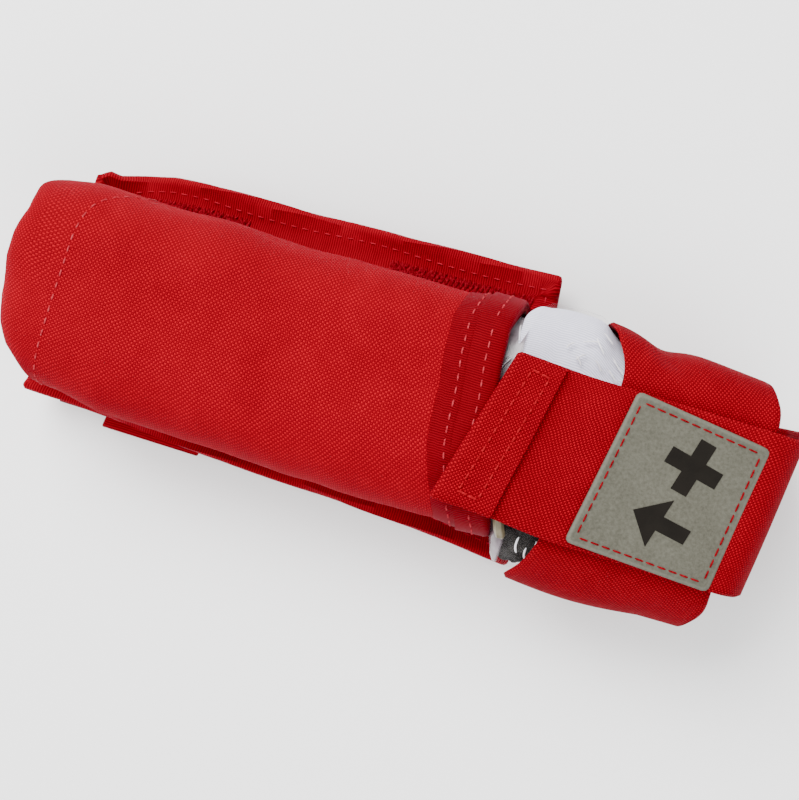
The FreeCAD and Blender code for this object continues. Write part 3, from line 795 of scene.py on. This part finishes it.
def make_shell():
    """The shell's cloth, and the piece that closes its nose from below."""
    rows = 150
    turns = np.linspace(0, 1, SECTION_STEPS + 1)
    grid = np.array([[shell_place(a, t) for t in turns] for a in np.linspace(0, 1, rows)])
    bend = lumps(grid, 26, 1.1, 3) + lumps(grid, 9, 0.3, 5)
    bend *= ease((mouth_end(0.5) - 16 - grid[..., 0]) / 12)
    normal = normals_of(grid)
    grid = grid + normal * np.sign(normal[rows // 2, 36, 2]) * bend[..., None]
    end_rows = grid[:int(rows * NOSE_SHARE) + 6]
    under = np.array([[between(row[0], row[-1], s) for s in np.linspace(0, 1, 49)]
                      for row in end_rows])
    under += lumps(under, 18, 0.8, 6)[..., None] * [1, 0, 0] * ease(
        (NOSE_ROOT - under[..., :1]) / 8)
    placed(skin("front_shell_end", under, "cordura"), "pouch", "red_cordura")
    obj = skin("front_shell_cloth", grid, "cordura")
    solid = obj.modifiers.new("thickness", "SOLIDIFY")
    solid.thickness = SHELL_THICKNESS * MM
    solid.offset = -1
    apply_all(obj)
    return placed(obj, "pouch", "red_cordura", "front_shell")


def behind_mouth(back, turn):
    """The share along the shell of a place that far behind the mouth's edge."""
    return 1 - back / (mouth_end(turn) - NOSE_ROOT) * (1 - NOSE_SHARE)


def make_mouth_binding():
    """Tape folded over the mouth's edge: the outside, the fold, and a little of the inside."""
    lip = 0.5
    edge = MOUTH_TAPE_WIDTH
    steps = [(edge, -0.2), (edge, 0.25), (edge - 0.2, lip), (edge - 1.5, lip), (11, lip),
             (8, lip), (5, lip), (2, lip), (0.8, lip), (0.1, lip * 0.4), (-0.25, -0.6),
             (0.1, -1.5), (1, -1.9), (4, -1.9), (8, -1.9), (8, -1.3)]
    grid = []
    for t in np.linspace(0, 1, 121):
        row = []
        for back, out in steps:
            share = behind_mouth(back, t)
            ahead, behind = (shell_place(share, min(max(v, 0), 1)) for v in (t + 0.004, t - 0.004))
            normal = np.cross([1, 0, 0], behind - ahead)
            row.append(shell_place(share, t) + normal / np.linalg.norm(normal) * out)
        grid.append(row)
    obj = skin("mouth_binding_tape", grid, "mouth_tape", closed=True)
    return placed(obj, "pouch", "red_grosgrain", "mouth_binding")


def shell_line(back, turns):
    """A line round the shell that far behind the mouth's edge."""
    return [shell_place(behind_mouth(back, t), t) for t in np.linspace(*turns, 120)]


def sew_shell(tree):
    """Two rows round the mouth, and the hem across the nose and down its near corner."""
    sides = (("near", (0.06, 0.3), (0, -1, 0.35)), ("top", (0.3, 0.7), (0, 0, 1)),
             ("far", (0.7, 0.94), (0, 1, 0.35)))
    for row, back in enumerate((9.6, 3.9)):
        for side, turns, facing in sides:
            sew(f"stitches_mouth_{row + 1}_{side}", tree, shell_line(back, turns), facing, "pouch",
                radius=0.2, length=1.7)
    hem = [(9.4, -27.0, 36), (9.7, -20, 48), (10.4, -8, 48), (11.0, 6, 48), (11.4, 16, 48),
           (13.2, 22, 46), (17.5, 25.5, 42), (24, 27.5, 36)]
    sew("stitches_hem", tree, smooth_line(hem, 90), (0, 0, 1), "pouch", radius=0.2, length=1.7)
    corner = [(9.4, -27.0, 34), (6, -28, 26), (0, -27, 22), (-3, -25, 20)]
    sew("stitches_hem_corner", tree, smooth_line(corner, 40), (0, -1, 0.4), "pouch",
        radius=0.2, length=1.7)


# ---- closure strap and pull tab ----

STRAP_NEAR, STRAP_FAR = LID_LOW[1], LID_HIGH[1]
BACK_LEVEL = (BACK_LOW[2] + BACK_HIGH[2]) / 2
LID_LEVEL = (LID_LOW[2] + LID_HIGH[2]) / 2
WALL_PLACE = (WALL_LOW[0] + WALL_HIGH[0]) / 2
TAB_START = 160.0  # where the lid's webbing goes on as the tab's piece, under the patch
TAB_GAP = 0.75  # half the tab's two layers' distance
TAB_FOLD = ((134.5, 0, LID_LEVEL), (127, 0, LID_LEVEL))

def strap_grid(line, near, far, columns=25, crown=0.0):
    """A grid for a strap whose middle line runs in X and Z, between two Y edges."""
    across = np.linspace(near, far, columns)
    bow = 1 - ((across - (near + far) / 2) / ((far - near) / 2)) ** 2
    return np.array([[(x, y, z + crown * b) for y, b in zip(across, bow)] for x, z in line])


def make_closure():
    """The webbing's sewn back run, its loose loop round the pack's end, and the pull tab."""
    near, far, low, top, wall = STRAP_NEAR, STRAP_FAR, BACK_LEVEL, LID_LEVEL, WALL_PLACE
    middle = (low + top) / 2

    def lean(grid):
        """The loop stands out a little more at its foot and far edge."""
        for row in grid:
            for p in row:
                share = ease((p[0] - wall + 14) / 14)
                side = (p[1] - near) / (far - near)
                p[0] += share * (between(-2.6, 1.4, side) + 2.6 * ease((middle - p[2]) / 20))
                p[1] += share * side * 2.0 * ease((top - 2.5 - p[2]) / 6)
                p[2] += share * 0.5 * math.sin(side * 5)
        return grid

    foot = smooth_line([(BACK_LOW[0], low), (100, low), (160, low), (176, low), (184, low + 0.6),
                        (188.4, low + 5), (wall, low + 12), (wall + 0.4, middle)], 130)
    head = smooth_line([(wall + 0.4, middle), (wall, top - 12), (188.6, top - 5),
                        (184.5, top - 0.9), (178, top), (TAB_START, top)], 70)
    obj = strap("closure_strap_back", lean(strap_grid(foot, near, far)), WEBBING,
                "webbing")
    bent(obj, ("pouch", "closure_wall"), (182, 0, low), (wall, 0, low + 9), "red_webbing",
         "closure_back_run")
    obj = strap("closure_strap_end", lean(strap_grid(head, near, far)), WEBBING,
                "webbing")
    bent(obj, ("closure_wall", "closure_lid"), (wall, 0, top - 9), (182, 0, top),
         "red_webbing", "closure_end_wall")
    make_tab()


def tab_place(s, c):
    """A place on the tab's middle: s along the webbing and back over its fold, c across."""
    end, back = between(112.6, 122.6, c), between(126.4, 133.2, c)
    first, turn, second = TAB_START - end, math.pi * TAB_GAP, back - end
    run = s * (first + turn + second)
    if run < first:
        x, z = TAB_START - run, LID_LEVEL
    elif run < first + turn:
        angle = (run - first) / TAB_GAP
        x, z = end - TAB_GAP * math.sin(angle), LID_LEVEL + TAB_GAP * (1 - math.cos(angle))
    else:
        x, z = end + run - first - turn, LID_LEVEL + 2 * TAB_GAP
    z += -0.5 * ease((x - 128) / 8) * ease((146 - x) / 10)
    z += 0.35 * math.sin(c * 7 + x * 0.15) * ease((x - 126) / 6)
    y = between(between(STRAP_NEAR, STRAP_FAR, c), between(-20.4, 17.0, c), ease((142 - x) / 24))
    return x, y, z


def make_tab():
    """The lid's webbing out to the tab, folded back on itself and sewn in a box."""
    grid = [[tab_place(s, c) for c in np.linspace(0, 1, 27)] for s in np.linspace(0, 1, 96)]
    tab = strap("closure_strap_tab", grid, WEBBING, "webbing")
    tree = surface_tree(tab)
    bodies = ("closure_lid", "pull_tab")
    bent(tab, bodies, *TAB_FOLD, "red_webbing", "closure_lid", "pull_tab")
    a, b, c, d = (117.4, -17.4), (125.6, 14.4), (122.3, -18.2), (130.0, 13.6)
    for name, start, end, count, pitch, length, radius in (
            ("outer", a, b, 30, 2.6, 1.6, 0.24), ("inner", c, d, 30, 2.6, 1.6, 0.24),
            ("side_1", a, c, 8, 2.4, 2.2, THREAD), ("side_2", b, d, 8, 2.4, 2.2, THREAD)):
        line = [(between(start[0], end[0], t), between(start[1], end[1], t), LID_LEVEL + 2)
                for t in np.linspace(0, 1, count)]
        sew(f"stitches_tab_{name}", tree, line, (0, 0, 1), None, "tab_thread", pitch=pitch,
            length=length, radius=radius, blend=(bodies, *TAB_FOLD))


# ---- retention band ----

BAND_RING = [  # height, then the band's two edges as (along, across)
    ("bottom", 8.8, (143, -3), (180, -3)),
    ("bottom_far", 8.8, (143, 17), (180, 17)),
    ("corner_far_low", 12.5, (141.5, 25.4), (179, 24.6)),
    ("far", 24, (140.8, 29.6), (178.6, 26.8)),
    ("far_upper", 35, (141.2, 30.2), (179.4, 27.0)),
    ("shoulder_far", 43.4, (143.6, 27.4), (181.0, 25.0)),
    ("top_far", 47.1, (147.0, 17.8), (183.0, 17.6)),
    ("top", 47.1, (144.5, -3), (181.8, -3)),
    ("top_near", 46.6, (140.2, -20.5), (179.8, -20)),
    ("shoulder_near", 42.0, (137.4, -29.6), (180.0, -28.6)),
    ("near_upper", 34, (134.2, -35.2), (177.6, -34.0)),
    ("near", 22, (136.6, -35.6), (177.2, -34.6)),
    ("corner_near_low", 12, (140.5, -29.5), (178.0, -30)),
    ("bottom_near", 8.8, (142.6, -19), (179.6, -19)),
]


def make_retention_band():
    """The band's webbing, with a dip on its far side and a bulge on its near side."""
    near_edge = smooth_line([(a[0], a[1], z) for _, z, a, _ in BAND_RING], 193, closed=True)
    far_edge = smooth_line([(b[0], b[1], z) for _, z, _, b in BAND_RING], 193, closed=True)
    shares = np.linspace(0, 1, 31)
    grid = np.array([[between(a, b, t) for t in shares] for a, b in zip(near_edge, far_edge)])
    for row in grid:
        for t, p in zip(shares, row):
            dip = ease((p[1] - 20) / 8) * math.exp(-((t - 0.34) / 0.15) ** 2)
            p[1] -= 1.9 * dip
            p[2] -= 1.2 * dip
            near = ease((-p[1] - 26) / 8)
            p[1] -= near * 1.2 * math.sin(math.pi * min(t * 1.3, 1)) * ease((p[2] - 12) / 12)
    obj = strap("retention_band_webbing", grid, WEBBING, "webbing", closed=True)
    return placed(obj, "pouch", "red_webbing", "retention_band")


# ---- label patch ----

PATCH_LENGTH, PATCH_WIDTH, PATCH_RADIUS = 34.0, 37.0, 1.3
PATCH_CORNERS = [(144.1, -21.4), (178.8, -22.9), (183.0, 12.6), (150.2, 16.8)]


def patch_place(u, v, level=0.0):
    """A place on the patch: u along and v across from 0 to 1, that far above its underside."""
    a, b, c, d = (np.array(p) for p in PATCH_CORNERS)
    x, y = between(between(a, b, u), between(d, c, u), v)
    z = PATCH_BASE + 0.15 + level - 1.6 * ease((x - 168) / 20) ** 1.5
    return np.array([x, y, z])


def make_label():
    """The patch with its bevelled rim, its stitches and its print."""
    loops = []
    for inset, level in ((0.0, 0.0), (0.0, 0.55), (0.25, 0.85), (0.9, 1.05), (1.3, 1.02),
                         (4, 1.0), (9, 1.0), (13, 1.0), (16, 1.0)):
        far = np.array([PATCH_LENGTH, PATCH_WIDTH]) / 2 - inset
        loop = rounded_rectangle(-far, far, max(PATCH_RADIUS - inset, 0.4), 7)
        ring = evenly(np.array(loop) / (PATCH_LENGTH, PATCH_WIDTH) + 0.5, 161)[:-1]
        loops.append([patch_place(u, v, level) for u, v in ring])
    obj = skin("label_patch_rubber", loops, "rubber", closed=True)
    build = bmesh.new()
    build.from_mesh(obj.data)
    open_edges = [e for e in build.edges if e.is_boundary]
    bmesh.ops.holes_fill(build, edges=open_edges, sides=0)
    bmesh.ops.recalc_face_normals(build, faces=build.faces)
    build.to_mesh(obj.data)
    build.free()
    tree = surface_tree(obj)
    placed(obj, "closure_lid", "label_rubber", "label_patch")
    inset_u, inset_v = 1.9 / PATCH_LENGTH, 1.9 / PATCH_WIDTH
    round_corner = 0.02
    corners = [(inset_u, inset_v), (1 - inset_u, inset_v), (1 - inset_u, 1 - inset_v),
               (inset_u, 1 - inset_v)]
    for side, (start, end) in enumerate(zip(corners, corners[1:] + corners[:1])):
        start, end = np.array(start), np.array(end)
        line = [patch_place(*between(start, end, t), 2)
                for t in np.linspace(round_corner, 1 - round_corner, 40)]
        sew(f"stitches_label_{side + 1}", tree, line, (0, 0, 1), "closure_lid", "patch_thread",
            pitch=2.7, length=2.1, radius=0.23, slot="label_rubber")
    make_print()


def make_print():
    """A plain plus sign and a pull arrow, printed on the patch."""
    arm, half = 2.0, 6.6
    plus = [(-arm, -half), (arm, -half), (arm, -arm), (half, -arm), (half, arm), (arm, arm),
            (arm, half), (-arm, half), (-arm, arm), (-half, arm), (-half, -arm), (-arm, -arm)]
    arrow = [(-half, -1.8), (0.4, -1.8), (0.4, -6.2), (half + 0.6, 0), (0.4, 6.2), (0.4, 1.8),
             (-half, 1.8)]
    turn = math.radians(-7)
    for name, outline, centre, flip in (("plus", plus, (0.565, 0.705), 1),
                                        ("arrow", arrow, (0.53, 0.305), -1)):
        points = []
        for level in (1.02, 1.12):
            for x, y in outline:
                x *= flip
                u = centre[0] + (x * math.cos(turn) - y * math.sin(turn)) / PATCH_LENGTH
                v = centre[1] + (x * math.sin(turn) + y * math.cos(turn)) / PATCH_WIDTH
                points.append(patch_place(u, v, level))
        count = len(outline)
        faces = [tuple(range(count, 2 * count))]
        faces += [(k, (k + 1) % count, (k + 1) % count + count, k + count) for k in range(count)]
        obj = piece(f"label_print_{name}", points, faces, "print")
        obj.data.shade_flat()
        placed(obj, "closure_lid", "label_rubber")


# ---- packed tourniquet ----

PACK_MIDDLE = 28
PACK_END = 7  # length over which the film's ends close


def wrap_section(x):
    """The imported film's section at x: its near and far reach, and its low and high level."""
    near = np.interp(x, [121, 126.5, 129.6, 134, 142, 160, 178],
                     [25, 25.6, 33.2, 34, 32.8, 31.6, 29.4])
    far = np.interp(x, [121, 124.4, 127.6, 131.3, 135, 138, 140, 142, 145, 152, 178],
                    [26.2, 30.6, 31.6, 32.0, 32.0, 31.9, 31.0, 29.4, 27.4, 24.8, 24])
    return near, far, WRAP_LOW[2], WRAP_HIGH[2] - 0.4 * ease((x - 121) / 9)


def wrap_place(x, turn, inset=0.0):
    """A place on the film: once round from the far side over the top as turn goes to 1."""
    near, far, low, high = wrap_section(x)
    y, z = squarish(2 * math.pi * turn, between(3.4, 2.8, ease((x - 134) / 12)))
    start, end = WRAP_LOW[0], WRAP_HIGH[0]
    close = min((x - start) / PACK_END, (end - x) / PACK_END, 1)
    fall = math.sqrt(max(1 - (1 - close) ** 2, 0))
    middle_y, half_y = (far - near) / 2, (far + near) / 2 - inset
    middle_z, half_z = (low + high) / 2, (high - low) / 2 - inset
    return np.array([x, middle_y + y * half_y * fall, middle_z + z * half_z * fall])


def soft_pack(obj, slot, *nodes):
    """A piece of the soft pack: it slides out with the tourniquet, on a mesh of its own."""
    placed(obj, "tourniquet", slot, *nodes)
    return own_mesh(obj)


def make_wrap():
    """The film, with closed ends and folds that are looser outside the pouch."""
    start, end = WRAP_LOW[0] + 0.05, WRAP_HIGH[0] - 0.05
    ends = np.linspace(0, 1, 9) ** 2 * PACK_END
    middle = np.linspace(start + PACK_END + 1, end - PACK_END - 1, 150)
    places = np.concatenate([start + ends, middle, (end - ends)[::-1]])
    turns = np.linspace(0, 1, 161)[:-1]
    grid = np.array([[wrap_place(x, t) for t in turns] for x in places])
    cloth = spread(places, turns * FILM_TURN)
    normal = normals_of(grid)
    folds = np.abs(lumps(grid * [1, 0.55, 0.8], 7.5, 1.0, 11))
    folds = (0.5 - folds) * 0.9 + lumps(grid, 3.2, 0.3, 4)
    loose = np.array([ease((row[0][0] - 119) / 4) for row in grid])[:, None]
    way = np.sign((normal[80, :, 2] * np.sign(grid[80, :, 2] - PACK_MIDDLE)).mean())
    grid = grid + normal * way * (folds * between(0.25, 1.0, loose) - 0.35)[..., None]
    obj = skin("clear_film_wrap", grid, "film", cloth, closed=True)
    return soft_pack(obj, "clear_film", "clear_wrap")


def make_white_strap():
    """White tape under the film, from the far side over the top, slanted at its end."""
    start, end = 120.6, 153.0
    neck = 126  # the film narrows from here into the mouth, the tape hardly
    grid = []
    for t in np.linspace(-0.06, 0.27, 70):
        edge = between(124.6, start, ease((t + 0.02) / 0.14))
        places = [between(edge, end, c) for c in np.linspace(0, 1, 19)]
        grid.append([wrap_place(max(x, neck + 0.2 * (x - neck)), t, 1.3) * [0, 1, 1] + [x, 0, 0]
                     for x in places])
    obj = strap("white_strap_tape", grid, 0.6, "white_tape")
    return soft_pack(obj, "white_strap", "time_strap")


def crease(spots, name, look, radius, lift=0.3):
    """Short raised creases in the film: each spot is (x, turn, run along x, run round, bend)."""
    points, faces = [], []
    for x, t, run, turn, bend in spots:
        line = [Vector(wrap_place(x + run * k + bend * (k * k - 0.25), t + turn * k, -lift))
                for k in np.linspace(-0.5, 0.5, 7)]
        ways = [Vector((0, p.y, p.z - PACK_MIDDLE)).normalized() for p in line]
        made, shape = thread_run(line, ways, radius)
        faces += [tuple(len(points) + k for k in face) for face in shape]
        points += made
    return soft_pack(piece(name, points, faces, look), "clear_film")


def make_creases():
    """Near-white creases as painted highlights on the clear film: small ones over the tape, longer
    ones down the near side, and two in the mouth.
    """
    dice = np.random.default_rng(5)
    small = [(dice.uniform(123, 148), dice.uniform(0.1, 0.24), dice.uniform(1.5, 4),
              dice.uniform(-0.016, 0.016), dice.uniform(-1.5, 1.5)) for _ in range(22)]
    near = [(134.5 + 2.3 * k + dice.uniform(-0.6, 0.6), 0.375 + dice.uniform(-0.015, 0.015),
             dice.uniform(0.5, 2.5), dice.uniform(0.03, 0.06), dice.uniform(1, 3))
            for k in range(6)]
    near += [(x + 1.4, t + 0.035, run, turn * 0.7, -bend) for x, t, run, turn, bend in near[1:]]
    mouth = [(120.3, 0.12, 0.8, 0.05, 0.8), (119.0, 0.2, -2.2, 0.03, 0.6)]
    # the white crease threads are painted highlights where the film's folds catch the light
    crease(small, "film_crease_highlights_top", "film_fold", 0.2, 0.42)
    crease(near, "film_crease_highlights_near", "film_fold", 0.26)
    crease(mouth, "film_crease_highlights_mouth", "film_fold", 0.2)
    crease([(128.6, 0.352, 4.2, 0.012, 0.8)], "film_corner_roll", "film_edge", 1.3, 0.4)


def fold_line(start, end, low, high, radius):
    """A flattened turn of band in X and Z, once round and back to its start."""
    middle, half = (low + high) / 2, (high - low) / 2
    line = []
    for x, side in ((end - radius, 1), (start + radius, -1)):
        for a in np.linspace(-math.pi / 2, math.pi / 2, 13):
            line.append((x + side * radius * math.cos(a), middle + half * math.sin(side * a)))
    return evenly(line + line[:1], 260)


def make_turns():
    """The black band's two flattened turns, its red tip and the ribbon on the windlass."""
    for order, node, radius in (("outer", "band_outer_fold", 8), ("inner", "band_inner_fold", 6)):
        low, high = span(node)
        line = fold_line(low[0], high[0], low[2] + 1, high[2] - 1, radius)
        grid = strap_grid(line, low[1] + 0.5, high[1] - 0.5, 15)
        grid[..., 2] += lumps(grid, 18, 0.7, 8)
        placed(strap(f"band_{order}_turn", grid, 1.8, "black_band", closed=True),
               "tourniquet", "black_webbing", node)
    low, high = span("band_tip")
    line = evenly([(low[0], low[2] + 0.6), (high[0], high[2] - 0.6)], 24)
    placed(strap("band_tip_fold", strap_grid(line, low[1] + 1, high[1] - 1, 11), 1.1,
                 "red_tip"), "tourniquet", "red_band_tip", "band_tip")
    low, high = span("windlass_ribbon")
    middle = (low[1] + high[1]) / 2
    grid = [[(x, middle + 0.2 * math.sin(x), z) for x in np.linspace(low[0], high[0], 15)]
            for z in np.linspace(low[2], high[2], 9)]
    placed(strap("windlass_ribbon_tape", grid, 0.9, "black_band"), "tourniquet",
           "black_webbing", "windlass_ribbon")


def make_bundle():
    """Crinkled layers of the band that show through the film on its near side."""
    for k in range(5):
        depth = 28.6 - 2.2 * k
        line = smooth_line([(129.5 + 1.2 * k, 15), (129.0 + k, 27), (131.5 + k, 38.5 - 0.5 * k),
                            (141, 41 - 0.4 * k), (156, 41)], 60)
        grid = np.array([[(x, -depth + 0.6 * math.sin(z * 0.5 + k) + t * 1.8,
                           z - 0.15 * t * (k + 1)) for t in np.linspace(0, 3.2, 9)]
                         for x, z in line])
        grid[..., 1] += lumps(grid, 4, 1.3, 20 + k)
        placed(strap(f"band_bundle_{k + 1}", grid, 0.9, "black_band"), "tourniquet",
               "black_webbing")
    face = np.array([[wrap_place(x, t, 2.2) for t in np.linspace(0.36, 0.56, 50)]
                     for x in np.linspace(130.8, 150, 40)])
    face[..., 1] += lumps(face * [1.6, 1, 0.6], 3, 1.4, 31)
    face[..., 2] += lumps(face, 3, 1.2, 33)
    placed(strap("band_bundle_face", face, 0.9, "black_band"), "tourniquet",
           "black_webbing")


# ---- belt straps ----

BELT_THICKNESS = 1.5


def make_belt_strap(order):
    """One belt strap: its bent webbing, sewn end, hook and loop, and the tab at its free end."""
    body = f"belt_strap_{order}"
    low, high = span(body)
    half = BELT_THICKNESS / 2
    root = high[1]
    end_level = 5.35
    line = smooth_line([(root, high[2] - half), (root - 2.4, high[2] - half - 1.6),
                        (root - 6, half + 1.2), (root - 9.5, half), (4, half), (-10, half),
                        (-15.5, half), (-18.6, half + 1.4), (-21.6, 4.9), (-24.5, end_level),
                        (low[1], end_level)], 110)
    grid = np.array([[(x, y, z) for x in np.linspace(low[0] + 0.6, high[0] - 0.6, 21)]
                     for y, z in line])
    grid[..., 2] += np.abs(lumps(grid, 22, 0.35, 9))
    obj = strap(f"belt_strap_{order}_webbing", grid, BELT_THICKNESS, "webbing")
    middle = (low[0] + high[0]) / 2
    bent(obj, ("pouch", body), (middle, root, high[2]), (middle, root - 5, high[2] - 4),
         "red_webbing", body)
    for kind, node, parent, look, slot in (
            ("anchor", "belt_anchor", "pouch", "webbing", "red_webbing"),
            ("loop", "belt_loop_pile", "pouch", "pile", "red_hook_and_loop"),
            ("hook", "belt_hook_patch", body, "hooks", "red_hook_and_loop")):
        node = f"{node}_{order}"
        obj = flat_piece(f"belt_{kind}_{order}", node, look, 9, ends=0.4, edges=0.5)
        placed(obj, parent, slot, node)
    low, high = span(f"belt_pull_tab_{order}")
    level = (low[2] + high[2]) / 2 - 0.3
    line = [(high[1], level - 0.3), (low[1] + 0.8, level - 0.3), (low[1], level + 0.1),
            (low[1] + 0.8, level + 0.5), (high[1], level + 0.5)]
    grid = [[(x + 0.5 * math.sin(y * 0.4), y, z) for x in np.linspace(low[0], high[0], 15)]
            for y, z in evenly(line, 40)]
    tab = strap(f"belt_pull_tab_{order}_tape", grid, 0.6, "binding")
    placed(tab, body, "red_grosgrain", f"belt_pull_tab_{order}")


def make_closure_pile():
    """The pile that the lid closes on, and the hooks under the lid."""
    for name, node, body, look in (
            ("retention_loop_pile_felt", "retention_loop_pile", "pouch", "pile"),
            ("closure_hook_felt", "closure_hook_patch", "closure_lid", "hooks")):
        placed(flat_piece(name, node, look, 15), body, "red_hook_and_loop", node)


def finish_plastic():
    """The moulded parts keep their CAD shape and get the plastic's finish."""
    for node in ("routing_buckle", "stabilising_plate", "windlass_clip", "windlass_rod"):
        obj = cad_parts[node]
        if not obj.material_slots:
            obj.data.materials.append(MATERIAL["plastic"])
        for holder in obj.material_slots:
            holder.material = MATERIAL["plastic"]


# ---- camera, light and floor ----

CAMERA_PLACE = (124.8, 15.2, 376.0)
CAMERA_TURN = (-0.0248, 0.0931, 0.2954)
CAMERA_LENS = 63.0
FLOOR_LEVEL = -0.0004  # in metres, just under the part


def make_stage():
    """A pale floor, soft light from three sides and above, and the camera."""
    bpy.ops.mesh.primitive_plane_add(size=8, location=(0, 0, FLOOR_LEVEL))
    floor = bpy.context.object
    floor.name = "floor"
    floor.data.materials.append(MATERIAL["floor"])

    world = bpy.data.worlds.new("studio")
    world.use_nodes = True
    background = world.node_tree.nodes["Background"]
    background.inputs["Color"].default_value = (1, 1, 1, 1)
    background.inputs["Strength"].default_value = 1.0
    bpy.context.scene.world = world

    target = at(90, 0, 20)
    for name, place, size, power in (("key_light", (-0.45, 0.55, 0.95), 0.7, 30),
                                     ("fill_light", (0.55, -0.6, 0.8), 0.9, 10),
                                     ("side_light", (-0.9, -0.2, 0.35), 0.5, 7)):
        light = bpy.data.lights.new(name, "AREA")
        light.size = size
        light.energy = power
        obj = bpy.data.objects.new(name, light)
        obj.location = place
        obj.rotation_euler = (target - Vector(place)).to_track_quat("-Z", "Y").to_euler()
        bpy.context.scene.collection.objects.link(obj)

    camera = bpy.data.cameras.new("photo_camera")
    camera.lens = CAMERA_LENS
    camera.sensor_width = 36.0
    obj = bpy.data.objects.new("photo_camera", camera)
    obj.location = at(*CAMERA_PLACE)
    obj.rotation_euler = CAMERA_TURN
    bpy.context.scene.collection.objects.link(obj)
    bpy.context.scene.camera = obj


# ---- build ----

make_panel()
panel_tape = make_panel_binding()
sew_panel(surface_tree(panel_tape, bpy.data.objects["back_panel_cloth"]))
shell = make_shell()
mouth_tape = make_mouth_binding()
sew_shell(surface_tree(shell, mouth_tape))
make_closure()
make_retention_band()
make_closure_pile()
make_label()
make_wrap()
make_white_strap()
make_creases()
make_turns()
make_bundle()
for strap_order in ("first", "second"):
    make_belt_strap(strap_order)
finish_plastic()
make_stage()
